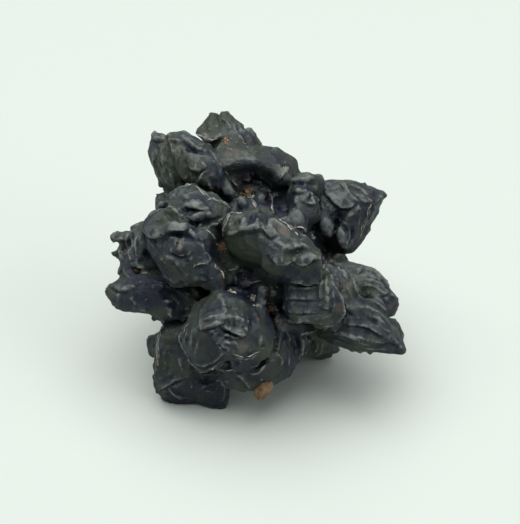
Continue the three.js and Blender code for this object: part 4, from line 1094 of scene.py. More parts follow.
@dataclass(frozen=True)
class Facets:
    """The crystal faces that a skin is flattened into, each a small plane of its own.

    Two points share a face where they are close and point the same way. Bend says how much a change of
    direction counts, as a share of the faces' width. One point of so many is tried as a face's middle, and
    each point is held against its nearest few. Lengths are in millimetres.
    """

    width: float = 3.8
    bend: float = 1.6
    edge: float = 0.12
    furthest: float = 0.8
    one_tried_of: int = 8
    nearest_few: int = 7

    def middles(self, keys: np.ndarray, chance: random.Random) -> list[int]:
        """Picks points at random that lie at least a face's width from each other.

        Args:
            keys: for each point, its place and its weighted direction.
            chance: the source of random places.

        Returns:
            The numbers of the points picked.
        """
        picked: list[int] = []
        kept = np.empty((0, keys.shape[1]), dtype=keys.dtype)
        for i in chance.sample(range(len(keys)), len(keys) // self.one_tried_of):
            if picked and np.min(np.sum((kept - keys[i]) ** 2, axis=1)) < self.width**2:
                continue
            kept = np.vstack([kept, keys[i]])
            picked.append(i)
        return picked

    def flatten(self, skin: Skin, strength: np.ndarray, chance: random.Random) -> None:
        """Flattens a skin into faces.

        Args:
            skin: the skin.
            strength: for each point, the share of the way to its face's plane.
            chance: the source of random places.
        """
        outward = skin.normals()
        keys = np.hstack([skin.points, outward * (self.bend * self.width)]).astype(np.float32)
        picked = self.middles(keys, chance)
        finder = nearest_finder(skin.points[picked].tolist())
        hits = (finder.find_n(point, self.nearest_few) for point in skin.points.tolist())
        some = np.array([[number for _, number, _ in found] for found in hits])
        away = np.sqrt(np.sum((keys[:, None] - keys[picked][some]) ** 2, axis=2))
        order = np.argsort(away, axis=1)[:, :2]
        first, second = np.take_along_axis(some, order, axis=1).T
        near, next_near = np.take_along_axis(away, order, axis=1).T
        count = len(picked)
        members = np.maximum(np.bincount(first, minlength=count), 1)[:, None]
        middle = np.stack([np.bincount(first, column, count) for column in skin.points.T], axis=1) / members
        way = np.stack([np.bincount(first, column, count) for column in outward.T], axis=1)
        way /= np.linalg.norm(way, axis=1)[:, None] + 1e-9
        drops = [
            np.einsum("ij,ij->i", middle[face] - skin.points, way[face])[:, None] * way[face]
            for face in (first, second)
        ]
        share = 1 / (1 + np.exp(-(next_near - near) / self.edge))[:, None]
        move = share * drops[0] + (1 - share) * drops[1]
        length = np.linalg.norm(move, axis=1)[:, None] + 1e-9
        move *= np.minimum(length, self.furthest) / length
        skin.points = skin.points + move * strength[:, None]


@dataclass(frozen=True)
class Run:
    """A stretch of a stroke that lies on the skin: its knots, and the outward direction at each."""

    knots: np.ndarray
    outward: np.ndarray


@dataclass
class Sculptor:
    """Places strokes on a skin and works them into it.

    A run is cut where the skin jumps away under it. A stroke fades towards its ends, and swells and shrinks
    along its way as knuckles do. It moves skin less where that is edge on to the show side, to leave the
    outline whole.
    """

    skin: Skin
    show: ShowSide
    step: float = 0.35
    jump: float = 1.6
    taper: float = 0.25
    shortest_taper: float = 0.3
    end_rise: float = 0.3
    knuckle: float = 0.32
    knuckle_length: float = 1.7
    edge_on: float = 0.55
    edge_on_least: float = 0.08
    growth_middle: Place = (0.0, 0.0, 19.0)
    along_growth: float = 0.55
    first_sway: float = 0.25
    sway: float = 0.22
    widths: Point = (0.55, 1.3)
    steepness: Point = (0.4, 0.6)
    lengths: Point = (1.6, 7.0)
    outward: np.ndarray = field(init=False, repr=False)

    def prepare(self) -> BVHTree:
        """Notes which way the skin faces before it is worked, and gives the skin as a tree."""
        self.outward = self.skin.normals()
        return self.skin.tree()

    def settle(self, tree: BVHTree, path: Sequence[Point]) -> list[Run]:
        """Drops a path on the skin from the show side.

        Args:
            tree: the skin, to cast rays at.
            path: places across and up.

        Returns:
            The runs that lie on the skin.
        """
        knots = np.array(path, dtype=np.float64)
        ends = distances(knots)
        stations = np.linspace(0.0, ends[-1], max(2, int(ends[-1] / self.step) + 1))
        found: list[list[tuple[np.ndarray, np.ndarray]]] = [[]]
        for place in zip(*(np.interp(stations, ends, column) for column in knots.T)):
            spot, out = self.show.look(tree, place)
            if spot is None:
                continue
            if found[-1] and np.linalg.norm(np.array(spot) - found[-1][-1][0]) > self.jump:
                found.append([])
            found[-1].append((np.array(spot), np.array(out)))
        return [Run(*(np.array(side) for side in zip(*run))) for run in found if len(run) > 1]

    def press(self, amount: np.ndarray, mark: Mark, width: float, rise: float, run: Run) -> None:
        """Adds what one run of a stroke does to the skin.

        Args:
            amount: how far each point moves so far; it is added to.
            mark: the stroke's kind.
            width: its half-width, in millimetres.
            rise: its rise, in millimetres.
            run: the run.
        """
        width, rise = width * mark.spread[0], rise * mark.spread[1]
        points, knots = self.skin.points, run.knots
        inside = (points > knots.min(axis=0) - width) & (points < knots.max(axis=0) + width)
        rows = np.nonzero(np.all(inside, axis=1))[0]
        if not len(rows):
            return
        near, outward = points[rows], self.outward[rows]
        steps = np.diff(knots, axis=0)
        lengths = np.maximum(np.linalg.norm(steps, axis=1), 1e-6)
        starts = np.concatenate([[0.0], np.cumsum(lengths)])
        total = starts[-1]
        gap, side, along, facing = (np.full(len(rows), start) for start in (np.inf, 0.0, 0.0, 0.0))
        for i, (knot, step, length) in enumerate(zip(knots, steps, lengths)):
            share = np.clip((near - knot) @ step / length**2, 0.0, 1.0)
            offset = near - knot - share[:, None] * step
            distance = np.linalg.norm(offset, axis=1)
            closer = distance < gap
            gap[closer] = distance[closer]
            left = np.cross(outward[closer], step)
            side[closer] = np.sign(np.einsum("ij,ij->i", left, offset[closer]))
            along[closer] = starts[i] + share[closer] * length
            facing[closer] = outward[closer] @ run.outward[i]
        signed = np.where(side == 0, 1.0, side) * np.clip(gap / width, 0.0, 1.0)
        fade = self.taper * total + self.shortest_taper
        ends = np.clip(np.minimum(along, total - along) / fade, 0.0, 1.0)
        ends = self.end_rise + (1 - self.end_rise) * ends * ends * (3 - 2 * ends)
        seed = float(knots[0].sum())
        beats = np.arange(0.0, total + self.step, self.step)
        swell = [noise.noise((seed, beat / self.knuckle_length, 0.5)) for beat in beats]
        rough = 1 + self.knuckle * np.interp(along, beats, swell)
        # The far wall of a thin fold faces away from the run, and isn't moved with it.
        same_side = np.clip((facing + 0.25) / 0.5, 0.0, 1.0)
        amount[rows] += rise * mark.lift(signed) * ends * rough * same_side

    def work(self, marks: Sequence[Stroke]) -> None:
        """Works strokes into the show side, all against the skin as it was before them.

        Args:
            marks: the strokes.
        """
        tree = self.prepare()
        towards = self.show.axes()[2]
        along_normal, straight_in = np.zeros((2, len(self.skin.points)))
        for stroke in marks:
            target = straight_in if stroke.mark is Mark.SINK else along_normal
            for run in self.settle(tree, stroke.path):
                self.press(target, stroke.mark, stroke.width, stroke.rise, run)
        along_normal *= np.clip(np.abs(self.outward @ towards) / self.edge_on, self.edge_on_least, 1.0)
        raised = self.skin.points + self.outward * along_normal[:, None]
        self.skin.points = raised + straight_in[:, None] * towards

    def seen(self) -> np.ndarray:
        """Tells how well each point is seen from the show side.

        Returns:
            1 where a point faces the show side in the open, down to 0 where it is turned away or covered.
        """
        grazing, clear_of_skin, clear_along, blur = 0.25, 0.3, 0.6, 6
        tree = self.prepare()
        towards = self.show.to_part(self.show.eye) - self.skin.points
        towards /= np.linalg.norm(towards, axis=1)[:, None]
        facing = np.clip(np.einsum("ij,ij->i", self.outward, towards) / grazing, 0.0, 1.0)
        for i in np.nonzero(facing)[0]:
            start = Vector(self.skin.points[i] + towards[i] * clear_along + self.outward[i] * clear_of_skin)
            if tree.ray_cast(start, Vector(towards[i]))[0] is not None:
                facing[i] = 0.0
        return self.skin.averaged(facing, blur)

    def wander(self, tree: BVHTree, start: int, length: float, chance: random.Random) -> Run | None:
        """Walks over the skin from a point, along the way the lobe grows or across it.

        Args:
            tree: the skin.
            start: the point's number.
            length: how far to walk, in millimetres.
            chance: the source of random turns.

        Returns:
            The run walked, or nothing if it jumped from one lobe to another.
        """
        spot, out = Vector(self.skin.points[start]), Vector(self.outward[start])
        growth = (spot - Vector(self.growth_middle)).normalized()
        level = Vector((0.0, 0.0, 1.0)).cross(out)
        grows = chance.random() < self.along_growth or level.length < 0.2
        heading = growth if grows else level.normalized()
        heading = heading + Vector([chance.gauss(0, self.first_sway) for _ in range(3)])
        knots, outward = [], []
        for _ in range(max(2, int(length / self.step))):
            heading = (heading - out * heading.dot(out)).normalized()
            knots.append(np.array(spot))
            outward.append(np.array(out))
            heading = heading + out.cross(heading) * chance.gauss(0, self.sway)
            spot, out, _, _ = tree.find_nearest(spot + heading * self.step)
        if np.max(np.linalg.norm(np.diff(np.array(knots), axis=0), axis=1)) > self.jump:
            return None
        if np.cross(outward[0], knots[1] - knots[0])[2] < 0:
            # Ledges drop on their right, so the run is turned to drop downwards.
            knots.reverse()
            outward.reverse()
        return Run(np.array(knots), np.array(outward))

    def weather(self, hidden: np.ndarray, count: int, chance: random.Random) -> None:
        """Works random strokes into the sides that carry none.

        Args:
            hidden: for each point, 1 where random strokes may go and 0 where they may not.
            count: how many strokes.
            chance: the source of random choices.
        """
        tree = self.prepare()
        amount = np.zeros(len(self.skin.points))
        shares = {Mark.LEDGE: 0.3, Mark.FOLD: 0.35, Mark.CLEFT: 0.15, Mark.WELT: 0.12, Mark.DISH: 0.08}
        narrower = {Mark.CLEFT: 0.6}
        starts = np.nonzero(hidden > 0.5)[0]
        for _ in range(count):
            mark = chance.choices(list(shares), list(shares.values()))[0]
            width = chance.uniform(*self.widths) * narrower.get(mark, 1.0)
            rise = width * chance.uniform(*self.steepness)
            run = self.wander(tree, int(chance.choice(starts)), chance.uniform(*self.lengths), chance)
            if run is not None:
                self.press(amount, mark, width, rise, run)
        self.skin.push(amount * hidden)


def swirl(points: np.ndarray, length: float, seed: float) -> np.ndarray:
    """Gives smooth noise at points, from about -1 to 1.

    Args:
        points: the points, one to a row, in millimetres.
        length: the size of its features, in millimetres.
        seed: moves the noise to a fresh place.

    Returns:
        One value for each point.
    """
    to_full_range = 1.6
    return np.array([noise.noise(place) for place in (points / length + seed).tolist()]) * to_full_range


@dataclass(frozen=True)
class WeatheredMarcasite:
    """Marcasite, an iron sulphide grown in blunt crystals, with a thin dark oxide skin from weathering.

    The skin is smooth to the touch and satin. Its colour carries painted light and shade: the tone ramp is
    soft grey on its upper faces and goes blue black below them, and the hollows are painted navy as shade.
    Edges are painted a little paler, partly as wear and partly as a painted highlight. Rust and pale clay are
    left in the clefts, as powder, quite dull. The grain is the pits of about 0.3 mm that weathering leaves,
    the ripple is the crystals' growth lines, about 1 mm apart, and mottle and cloud are the patches of oxide.
    Lengths are in millimetres.
    """

    # Tone ramp stops, from the painted shade of down-facing skin (under, side) to the painted light of upper
    # faces (upper, top).
    under: str = "#070e21"
    side: str = "#131a27"
    upper: str = "#2e3638"
    top: str = "#535a57"
    olive: str = "#2b3227"
    brown: str = "#36302b"
    tan: str = "#5f574d"
    # Edges: partly wear, partly a painted highlight.
    worn_edge_and_highlight: str = "#6f736d"
    # Painted shade: the navy that the hollows are mixed towards.
    deep: str = "#0a1024"
    rust: tuple[str, str, str] = ("#5a412a", "#8c6c46", "#b39a76")
    clay: tuple[str, str] = ("#85837a", "#c9c5b4")
    roughness: tuple[float, float] = (0.44, 0.62)
    powder_roughness: float = 0.9
    reflection: float = 0.36
    cloud: float = 7.0
    mottle: float = 2.0
    grain: float = 0.29
    ripple: float = 0.9
    speckle: float = 0.7
    speckle_middle: float = 0.34
    drift: float = 0.75
    bumps: tuple[tuple[str, float], ...] = (("ripple", 0.14), ("grain", 0.16))

    def material(self) -> bpy.types.Material:
        """Builds the material.

        Returns:
            The material, reading Object coordinates and the skin's own attributes.
        """
        made = bpy.data.materials.new("weathered_marcasite")
        made.use_nodes = True
        tree = made.node_tree
        tree.nodes.clear()
        place = add_node(tree, "ShaderNodeTexCoord").outputs["Object"]
        noises = {
            name: add_node(
                tree,
                "ShaderNodeTexNoise",
                links={"Vector": place},
                values={"Scale": 1 / (length * MM), "Detail": detail, "Roughness": 0.6},
            ).outputs["Fac"]
            for name, length, detail in (
                ("cloud", self.cloud, 4.0),
                ("mottle", self.mottle, 3.0),
                ("grain", self.grain, 2.0),
                ("ripple", self.ripple, 3.0),
            )
        }
        painted = {
            name: add_node(tree, "ShaderNodeAttribute", attribute_name=name).outputs["Fac"]
            for name in ("hollow", "crest", "dust", "olive", "tan", "rust", "clay")
        }
        ramps = {
            name: add_node(
                tree, "ShaderNodeValToRGB", links={"Fac": noises[by]}, stops=stops
            ).outputs["Color"]
            for name, by, stops in (
                ("rust", "ripple", tuple(zip((0.34, 0.5, 0.66), self.rust))),
                ("clay", "mottle", tuple(zip((0.4, 0.62), self.clay))),
            )
        }

        patches = {
            name: add_node(
                tree,
                "ShaderNodeMapRange",
                links={"Value": noises[by]},
                values={"From Min": low, "From Max": high, "To Min": 0.0, "To Max": self.drift},
            ).outputs["Result"]
            for name, by, low, high in (("olive", "cloud", 0.5, 0.62), ("brown", "mottle", 0.56, 0.7))
        }

        def broken(name: str, by: str, loss: float, gain: float) -> bpy.types.NodeSocket:
            """Breaks a painted value up: gain times the value, less loss times the noise, in 0 to 1."""
            lost = add_node(
                tree,
                "ShaderNodeMath",
                links={0: noises[by]},
                values={1: -loss, 2: 0.0},
                operation="MULTIPLY_ADD",
            )
            return add_node(
                tree,
                "ShaderNodeMath",
                links={0: painted[name], 2: lost.outputs[0]},
                values={1: gain},
                operation="MULTIPLY_ADD",
                use_clamp=True,
            ).outputs[0]

        speckled = add_node(
            tree,
            "ShaderNodeMath",
            links={0: noises["grain"], 2: broken("dust", "mottle", 0.5, 1.25)},
            values={1: self.speckle},
            operation="MULTIPLY_ADD",
        )
        tone = add_node(
            tree,
            "ShaderNodeMath",
            links={0: speckled.outputs[0]},
            values={1: self.speckle_middle},
            operation="SUBTRACT",
            use_clamp=True,
        )
        # The tone ramp paints light and shade: low tone on down-facing and deep skin is blue black, high tone
        # on upper faces and crests is soft grey.
        colour = add_node(
            tree,
            "ShaderNodeValToRGB",
            links={"Fac": tone.outputs[0]},
            stops=((0.02, self.under), (0.3, self.side), (0.7, self.upper), (0.95, self.top)),
        ).outputs["Color"]
        powder = {name: broken(name, "ripple", 1.6, 2.2) for name in ("rust", "clay")}
        for over, share in (
            (self.olive, patches["olive"]),
            (self.brown, patches["brown"]),
            (self.olive, broken("olive", "mottle", 0.5, 1.3)),
            (self.tan, broken("tan", "mottle", 0.9, 1.1)),
            # painted shade: the hollows go navy
            (self.deep, broken("hollow", "mottle", 0.3, 0.8)),
            # edges: wear and painted highlight
            (self.worn_edge_and_highlight, broken("crest", "ripple", 1.0, 1.2)),
            (ramps["rust"], powder["rust"]),
            (ramps["clay"], powder["clay"]),
        ):
            mix = add_node(tree, "ShaderNodeMix", data_type="RGBA")
            tree.links.new(share, mix.inputs[0])
            tree.links.new(colour, mix.inputs[6])
            if isinstance(over, str):
                mix.inputs[7].default_value = linear(over)
            else:
                tree.links.new(over, mix.inputs[7])
            colour = mix.outputs[2]
        low, high = self.roughness
        gloss = add_node(
            tree,
            "ShaderNodeMapRange",
            links={"Value": noises["mottle"]},
            values={"From Min": 0.35, "From Max": 0.65, "To Min": low, "To Max": high},
        ).outputs["Result"]
        for share in powder.values():
            values = {3: self.powder_roughness}
            gloss = add_node(tree, "ShaderNodeMix", links={0: share, 2: gloss}, values=values).outputs[0]
        shader = add_node(
            tree,
            "ShaderNodeBsdfPrincipled",
            links={"Base Color": colour, "Roughness": gloss},
            values={"Specular IOR Level": self.reflection},
        )
        raised = {}
        for name, depth in self.bumps:
            values = {"Strength": 1.0, "Distance": depth * MM}
            bump = add_node(tree, "ShaderNodeBump", links={"Height": noises[name], **raised}, values=values)
            raised = {"Normal": bump.outputs["Normal"]}
        tree.links.new(raised["Normal"], shader.inputs["Normal"])
        add_node(tree, "ShaderNodeOutputMaterial", links={"Surface": shader.outputs["BSDF"]})
        return made


@dataclass(frozen=True)
class WeatheringAndPaintedLight:
    """How the skin is coloured: paler on tops and crests, as painted light with some dust and wear, darker
    below and in hollows, as painted shade, and stained here and there.

    The first weights add up to the tone of dust and painted light and shade. Reliefs are heights over the
    skin blurred by that many rounds.
    """

    show: ShowSide
    sky: Place = (-0.2, -0.1, 0.97)
    bare: float = 0.345
    lit: float = 0.2
    lit_broadly: float = 0.26
    cloud: float = 0.1
    broad: float = 0.12
    middle: float = 0.6
    near: float = 1.6
    near_most: float = 0.14
    reliefs: tuple[int, int, int, int] = (90, 14, 5, 2)
    stray_stains: int = 60
    spot_light_over_hollow_shade: float = 1.4

    def laid(self, skin: Skin, deep: np.ndarray, chance: random.Random) -> list[tuple[np.ndarray, Spot]]:
        """Lays the show side's spots on the skin, and stray stains in the hollows of the other sides.

        Args:
            skin: the finished skin.
            deep: the numbers of the points where stray stains may lie.
            chance: the source of random choices.

        Returns:
            The middle of each spot in the part's frame, and the spot.
        """
        tree = skin.tree()
        hits = [(self.show.look(tree, spot.place)[0], spot) for spot in SPOTS]
        found = [(np.array(hit), spot) for hit, spot in hits if hit is not None]
        for _ in range(self.stray_stains):
            rusty = chance.random() < 0.6
            strength = chance.uniform(0.5, 0.95)
            reach = chance.uniform(0.5, 1.3)
            spot = Spot((0, 0), reach, rust=strength * rusty, clay=strength * (not rusty))
            found.append((skin.points[int(chance.choice(deep))], spot))
        return found

    def values(self, skin: Skin, seen: np.ndarray, chance: random.Random) -> dict[str, np.ndarray]:
        """Works out the painted light and shade, paler facing up and on crests and darker facing down and in
        hollows, and where the skin is worn, dusty and stained.

        Args:
            skin: the finished skin.
            seen: how well each point is seen from the show side.
            chance: the source of random choices.

        Returns:
            A value from about 0 to 1 for each point, for each painted name.
        """
        lit = skin.averaged(skin.normals(), 3) @ np.array(self.sky)
        broad, middle, near, fine = (skin.relief(rounds) for rounds in self.reliefs)
        # Edges and crests are painted paler, partly wear and partly a painted highlight; they show from a
        # least height, and are plainer on the sides turned from the show side.
        edges = 0.8 * np.clip((fine - 0.02) / 0.035, 0, 1) * (0.4 + 0.6 * seen)
        crests = np.clip((near - 0.035) / 0.12, 0, 1) * np.clip(0.6 + broad, 0, 1) * (0.45 + 0.55 * seen)
        # Painted light and shade, with some dust and random cloud: paler where the skin faces the sky or
        # stands out, darker where it faces down or lies low.
        dust = (
            self.bare
            + self.lit * lit
            + self.lit_broadly * skin.averaged(lit, 30)
            + self.cloud * swirl(skin.points, 2.4, 3.3)
            + self.broad * broad
            + self.middle * middle
            + np.clip(self.near * near, -self.near_most, self.near_most)
        )
        made = {name: np.zeros(len(skin.points)) for name in ("tan", "rust", "clay")}
        # Painted shade: the deeper a hollow, the more it is mixed towards navy.
        made["hollow"] = np.clip(-broad / 0.9, 0, 1)
        made["crest"] = np.maximum(edges, crests)
        made["dust"] = np.clip(dust, 0, 1)
        made["olive"] = np.clip(swirl(skin.points, 6.0, 8.8) * 1.5, 0, 1)
        deep = np.nonzero((made["hollow"] > 0.45) & (seen < 0.1))[0]
        for at, spot in self.laid(skin, deep, chance):
            share = np.clip(1.25 - np.linalg.norm(skin.points - at, axis=1) / spot.reach, 0, 1)
            # A spot paints light where positive and shade where negative; its painted light also lifts the
            # hollow's painted shade.
            spot_light_and_shade = eased(share) * spot.dust
            made["dust"] += spot_light_and_shade
            made["hollow"] = np.clip(made["hollow"] - spot_light_and_shade * self.spot_light_over_hollow_shade, 0, 1)
            for name in ("rust", "clay", "olive", "tan"):
                made[name] = np.maximum(made[name], share * getattr(spot, name))
        return made


@dataclass
class Nodule:
    """The nodule, one grown piece standing for the frame's solid.

    It is remeshed coarsely for its hollows and crystals, then finely for its faces and strokes. Lumps give
    their rise, length and seed. Lengths are in millimetres.
    """

    show: ShowSide
    finish: bpy.types.Material
    coarse: float = 0.5
    fine: float = 0.27
    seed: int = 7
    swell: float = 0.3
    round_off: int = 3
    flatness: float = 0.62
    flatter_where_hidden: float = 0.1
    hidden_lumps: Place = (0.28, 3.2, 4.7)
    lumps: Place = (0.07, 1.1, 9.1)
    fine_lumps: Place = (0.04, 0.6, 2.2)
    crispness: float = 0.95
    random_strokes: int = 620
    most_triangles: int = 194000

    @staticmethod
    def merged_copy(source: bpy.types.Object) -> bpy.types.Object:
        """Copies the frame's solid and joins its loose triangles.

        Args:
            source: the solid's object.

        Returns:
            The copy's object.
        """
        shell = bmesh.new()
        shell.from_mesh(source.data)
        bmesh.ops.remove_doubles(shell, verts=shell.verts, dist=0.01 * MM)
        return add_object("nodule_skin", new_mesh("nodule_skin", shell))

    @staticmethod
    def keep_largest(mesh: bpy.types.Mesh) -> None:
        """Deletes every loose part of a mesh but the largest, such as a bubble left inside by a remesh.

        Args:
            mesh: the mesh.
        """
        shell = bmesh.new()
        shell.from_mesh(mesh)
        left = set(shell.verts)
        parts = []
        while left:
            part = [left.pop()]
            for vertex in part:
                near = [edge.other_vert(vertex) for edge in vertex.link_edges]
                fresh = [other for other in near if other in left]
                left.difference_update(fresh)
                part.extend(fresh)
            parts.append(part)
        parts.sort(key=len)
        bmesh.ops.delete(shell, geom=[vertex for part in parts[:-1] for vertex in part], context="VERTS")
        shell.to_mesh(mesh)
        shell.free()

    @staticmethod
    def applied(made: bpy.types.Object, kind: str, **settings: object) -> Skin:
        """Applies one modifier to an object's mesh.

        Args:
            made: the object, whose mesh is replaced.
            kind: the modifier's type.
            settings: the modifier's own properties.

        Returns:
            The new skin.
        """
        modifier = made.modifiers.new(kind.lower(), kind)
        for name, value in settings.items():
            setattr(modifier, name, value)
        old, fresh = made.data, evaluated_mesh(made)
        made.modifiers.clear()
        made.data = fresh
        bpy.data.meshes.remove(old)
        Nodule.keep_largest(fresh)
        return Skin(fresh)

    def grow_crystals(self, made: bpy.types.Object, skin: Skin) -> Crystals:
        """Sets the small rounded crystals in their hollows, as closed shapes that the next remesh joins on.

        Args:
            made: the object.
            skin: its skin.

        Returns:
            For each crystal that stands proud, its middle and its reach, in millimetres.
        """
        tree = skin.tree()
        shell = bmesh.new()
        shell.from_mesh(made.data)
        grown = [(crystal, crystal.grow(shell, self.show, tree)) for crystal in CRYSTALS]
        shell.to_mesh(made.data)
        shell.free()
        proud = [(at, crystal) for crystal, at in grown if at is not None and crystal.proud > 0]
        return [(np.array(at), crystal.long) for at, crystal in proud]

    def rough_out(self, made: bpy.types.Object) -> tuple[Skin, Crystals]:
        """Sinks the deep hollows and grows the crystals in them.

        Args:
            made: the object.

        Returns:
            The new skin, and the middle and reach of each crystal that stands proud.
        """
        skin = self.applied(made, "REMESH", mode="VOXEL", voxel_size=self.coarse * MM)
        skin.relax(self.round_off)
        skin.push(np.full(len(skin.points), self.swell))
        Sculptor(skin, self.show).work(HOLLOWS)
        skin.relax(1)
        skin.store()
        grown = self.grow_crystals(made, skin)
        skin = self.applied(made, "REMESH", mode="VOXEL", voxel_size=self.fine * MM)
        skin.relax(2)
        return skin, grown

    def sculpt(self, skin: Skin, grown: Crystals, chance: random.Random) -> np.ndarray:
        """Gives the skin its faces, strokes and fine lumps.

        Args:
            skin: the skin.
            grown: the middle and reach of each crystal, which keeps its round shape.
            chance: the source of random choices.

        Returns:
            How well each point is seen from the show side.
        """

        def lump(rise: float, length: float, seed: float, share: float | np.ndarray = 1.0) -> None:
            """Pushes smooth lumps out of the skin."""
            skin.push(rise * share * swirl(skin.points, length, seed))

        sculptor = Sculptor(skin, self.show)
        seen = sculptor.seen()
        # Broad lumps stand mostly where the show side's own strokes don't reach.
        lump(*self.hidden_lumps, 1 - 0.8 * seen)
        flatness = self.flatness + self.flatter_where_hidden * (1 - seen)
        for middle, reach in grown:
            # A crystal keeps most of its roundness, out to a little past its end.
            away = np.linalg.norm(skin.points - middle, axis=1) / (reach + 0.4)
            flatness *= np.clip(3 * away - 2.4, 0.35, 1)
        Facets().flatten(skin, flatness, chance)
        skin.relax(1)
        sculptor.work(STROKES)
        sculptor.weather(np.clip(1.15 - 1.6 * seen, 0, 1), self.random_strokes, chance)
        lump(*self.lumps)
        skin.relax(1)
        lump(*self.fine_lumps)
        # Skin that is edge on to the show side is left softer, to keep the outline clean.
        facing = np.abs(skin.normals() @ self.show.axes()[2])
        skin.crispen(3, self.crispness * np.clip(facing / 0.6, 0.1, 1))
        skin.settle_on_floor()
        return seen

    def build(self, source: bpy.types.Object) -> tuple[bpy.types.Object, Skin]:
        """Builds and dresses the nodule.

        Args:
            source: the frame's solid.

        Returns:
            The nodule's object, and its skin for what lies on it.
        """
        chance = random.Random(self.seed)
        made = self.merged_copy(source)
        skin, grown = self.rough_out(made)
        seen = self.sculpt(skin, grown, chance)
        values = WeatheringAndPaintedLight(self.show).values(skin, seen, chance)
        full = nearest_finder(skin.points.tolist())
        share = self.most_triangles / (2 * len(made.data.polygons))
        thinned = self.applied(made, "DECIMATE", ratio=min(share, 1.0))
        rows = np.array([full.find(point)[1] for point in thinned.points.tolist()])
        for name, column in values.items():
            thinned.paint(name, column[rows])
        dress(made, self.finish, smooth=True)
        return made, thinned


@dataclass
class ClayAndHighlightSeams:
    """Thin threads of pale clay and worn mineral that lie in and along the folds, half sunk in the skin.
    Along the crests they are partly painted highlight lines.

    Threads also run along the narrow folds, thin and faint, as painted highlight lines on their crests.
    Widths and lengths are in millimetres.
    """

    show: ShowSide
    finish: bpy.types.Material
    narrow: float = 0.5
    thin: float = 0.11
    faint: float = 0.28
    sunk: float = 0.2
    step: float = 0.16
    jump: float = 0.9
    bend_step: float = 0.25
    bend_length: float = 0.9
    swell_length: float = 0.3
    taper: float = 0.7
    stray: float = 0.28
    shake: float = 0.022
    fewest_knots: int = 4
    dust: float = 0.6
    seed: int = 5

    def crooked(self, path: Sequence[Point], seed: float) -> list[Point]:
        """Makes a path wander from side to side, as a crack does.

        Args:
            path: places across and up.
            seed: moves the wandering to a fresh place.

        Returns:
            The crooked path, in short steps.
        """
        knots = np.array(path)
        ends = distances(knots)
        beats = np.linspace(0, ends[-1], max(self.fewest_knots, int(ends[-1] / self.bend_step)))
        straight = np.array([np.interp(beats, ends, column) for column in knots.T])
        rows = (0.5, 7.5)
        bends = [[noise.noise((seed, beat / self.bend_length, row)) for beat in beats] for row in rows]
        return [(across, up) for across, up in (straight + self.stray * np.array(bends)).T.tolist()]

    def radii(self, count: int, width: float, seed: float) -> list[float]:
        """Gives a thread's half-width at each knot: it swells, all but breaks, and tapers at its ends.

        Args:
            count: how many knots it has.
            width: its mean width, in millimetres.
            seed: moves the swelling to a fresh place.

        Returns:
            The half-widths, in millimetres.
        """
        found = []
        for i in range(count):
            beat = i * self.step
            long_swell = noise.noise((seed, beat / self.bend_length, 0.0))
            short_swell = noise.noise((seed, beat / self.swell_length, 5.0))
            share = 0.6 + 1.3 * long_swell + 0.6 * short_swell
            taper = min(1.0, 0.35 + min(i, count - 1 - i) * self.step / self.taper)
            found.append(width / 2 * min(max(share, 0.05), 1.3) * taper)
        return found

    def build(self, skin: Skin) -> bpy.types.Object:
        """Lays the threads on the skin.

        Args:
            skin: the skin they lie on.

        Returns:
            Their object.
        """
        chance = random.Random(self.seed)
        tree = skin.tree()
        sculptor = Sculptor(skin, self.show, step=self.step, jump=self.jump)
        line = bpy.data.curves.new("clay_and_highlight_seams", "CURVE")
        line.dimensions = "3D"
        line.bevel_depth = MM
        line.bevel_resolution = 0
        line.use_fill_caps = True
        laid: list[tuple[Vector, float]] = []
        folds = [mark.path for mark in STROKES if mark.mark is Mark.FOLD and mark.width <= self.narrow]
        for width, pale, path in (*SEAMS, *((self.thin, self.faint, path) for path in folds)):
            for run in sculptor.settle(tree, self.crooked(path, chance.uniform(0, 90))):
                count = len(run.knots)
                if count < self.fewest_knots:
                    continue
                thread = line.splines.new("POLY")
                thread.points.add(count - 1)
                radii = self.radii(count, width, chance.uniform(0, 90))
                for point, knot, out, radius in zip(thread.points, run.knots, run.outward, radii):
                    stray = Vector([chance.gauss(0, self.shake) for _ in range(3)])
                    spot = Vector(knot) + Vector(out) * radius * (0.5 - self.sunk) + stray
                    point.co = (*(spot * MM), 1.0)
                    point.radius = radius
                    laid.append((spot, pale))
        holder = add_object("clay_seams_line", line)
        mesh = evaluated_mesh(holder)
        bpy.data.objects.remove(holder)
        mesh.name = "clay_and_highlight_seams"
        made = add_object("clay_and_highlight_seams", mesh)
        threads = Skin(mesh)
        nearest = nearest_finder([spot for spot, _ in laid])
        pale = np.array([laid[nearest.find(point)[1]][1] for point in threads.points.tolist()])
        threads.paint("clay", pale)
        # The threads are painted paler as crests: worn edge and painted highlight.
        threads.paint("crest", np.minimum(pale * 1.6, 1.0))
        threads.paint("dust", np.full(len(pale), self.dust))
        dress(made, self.finish)
        return made


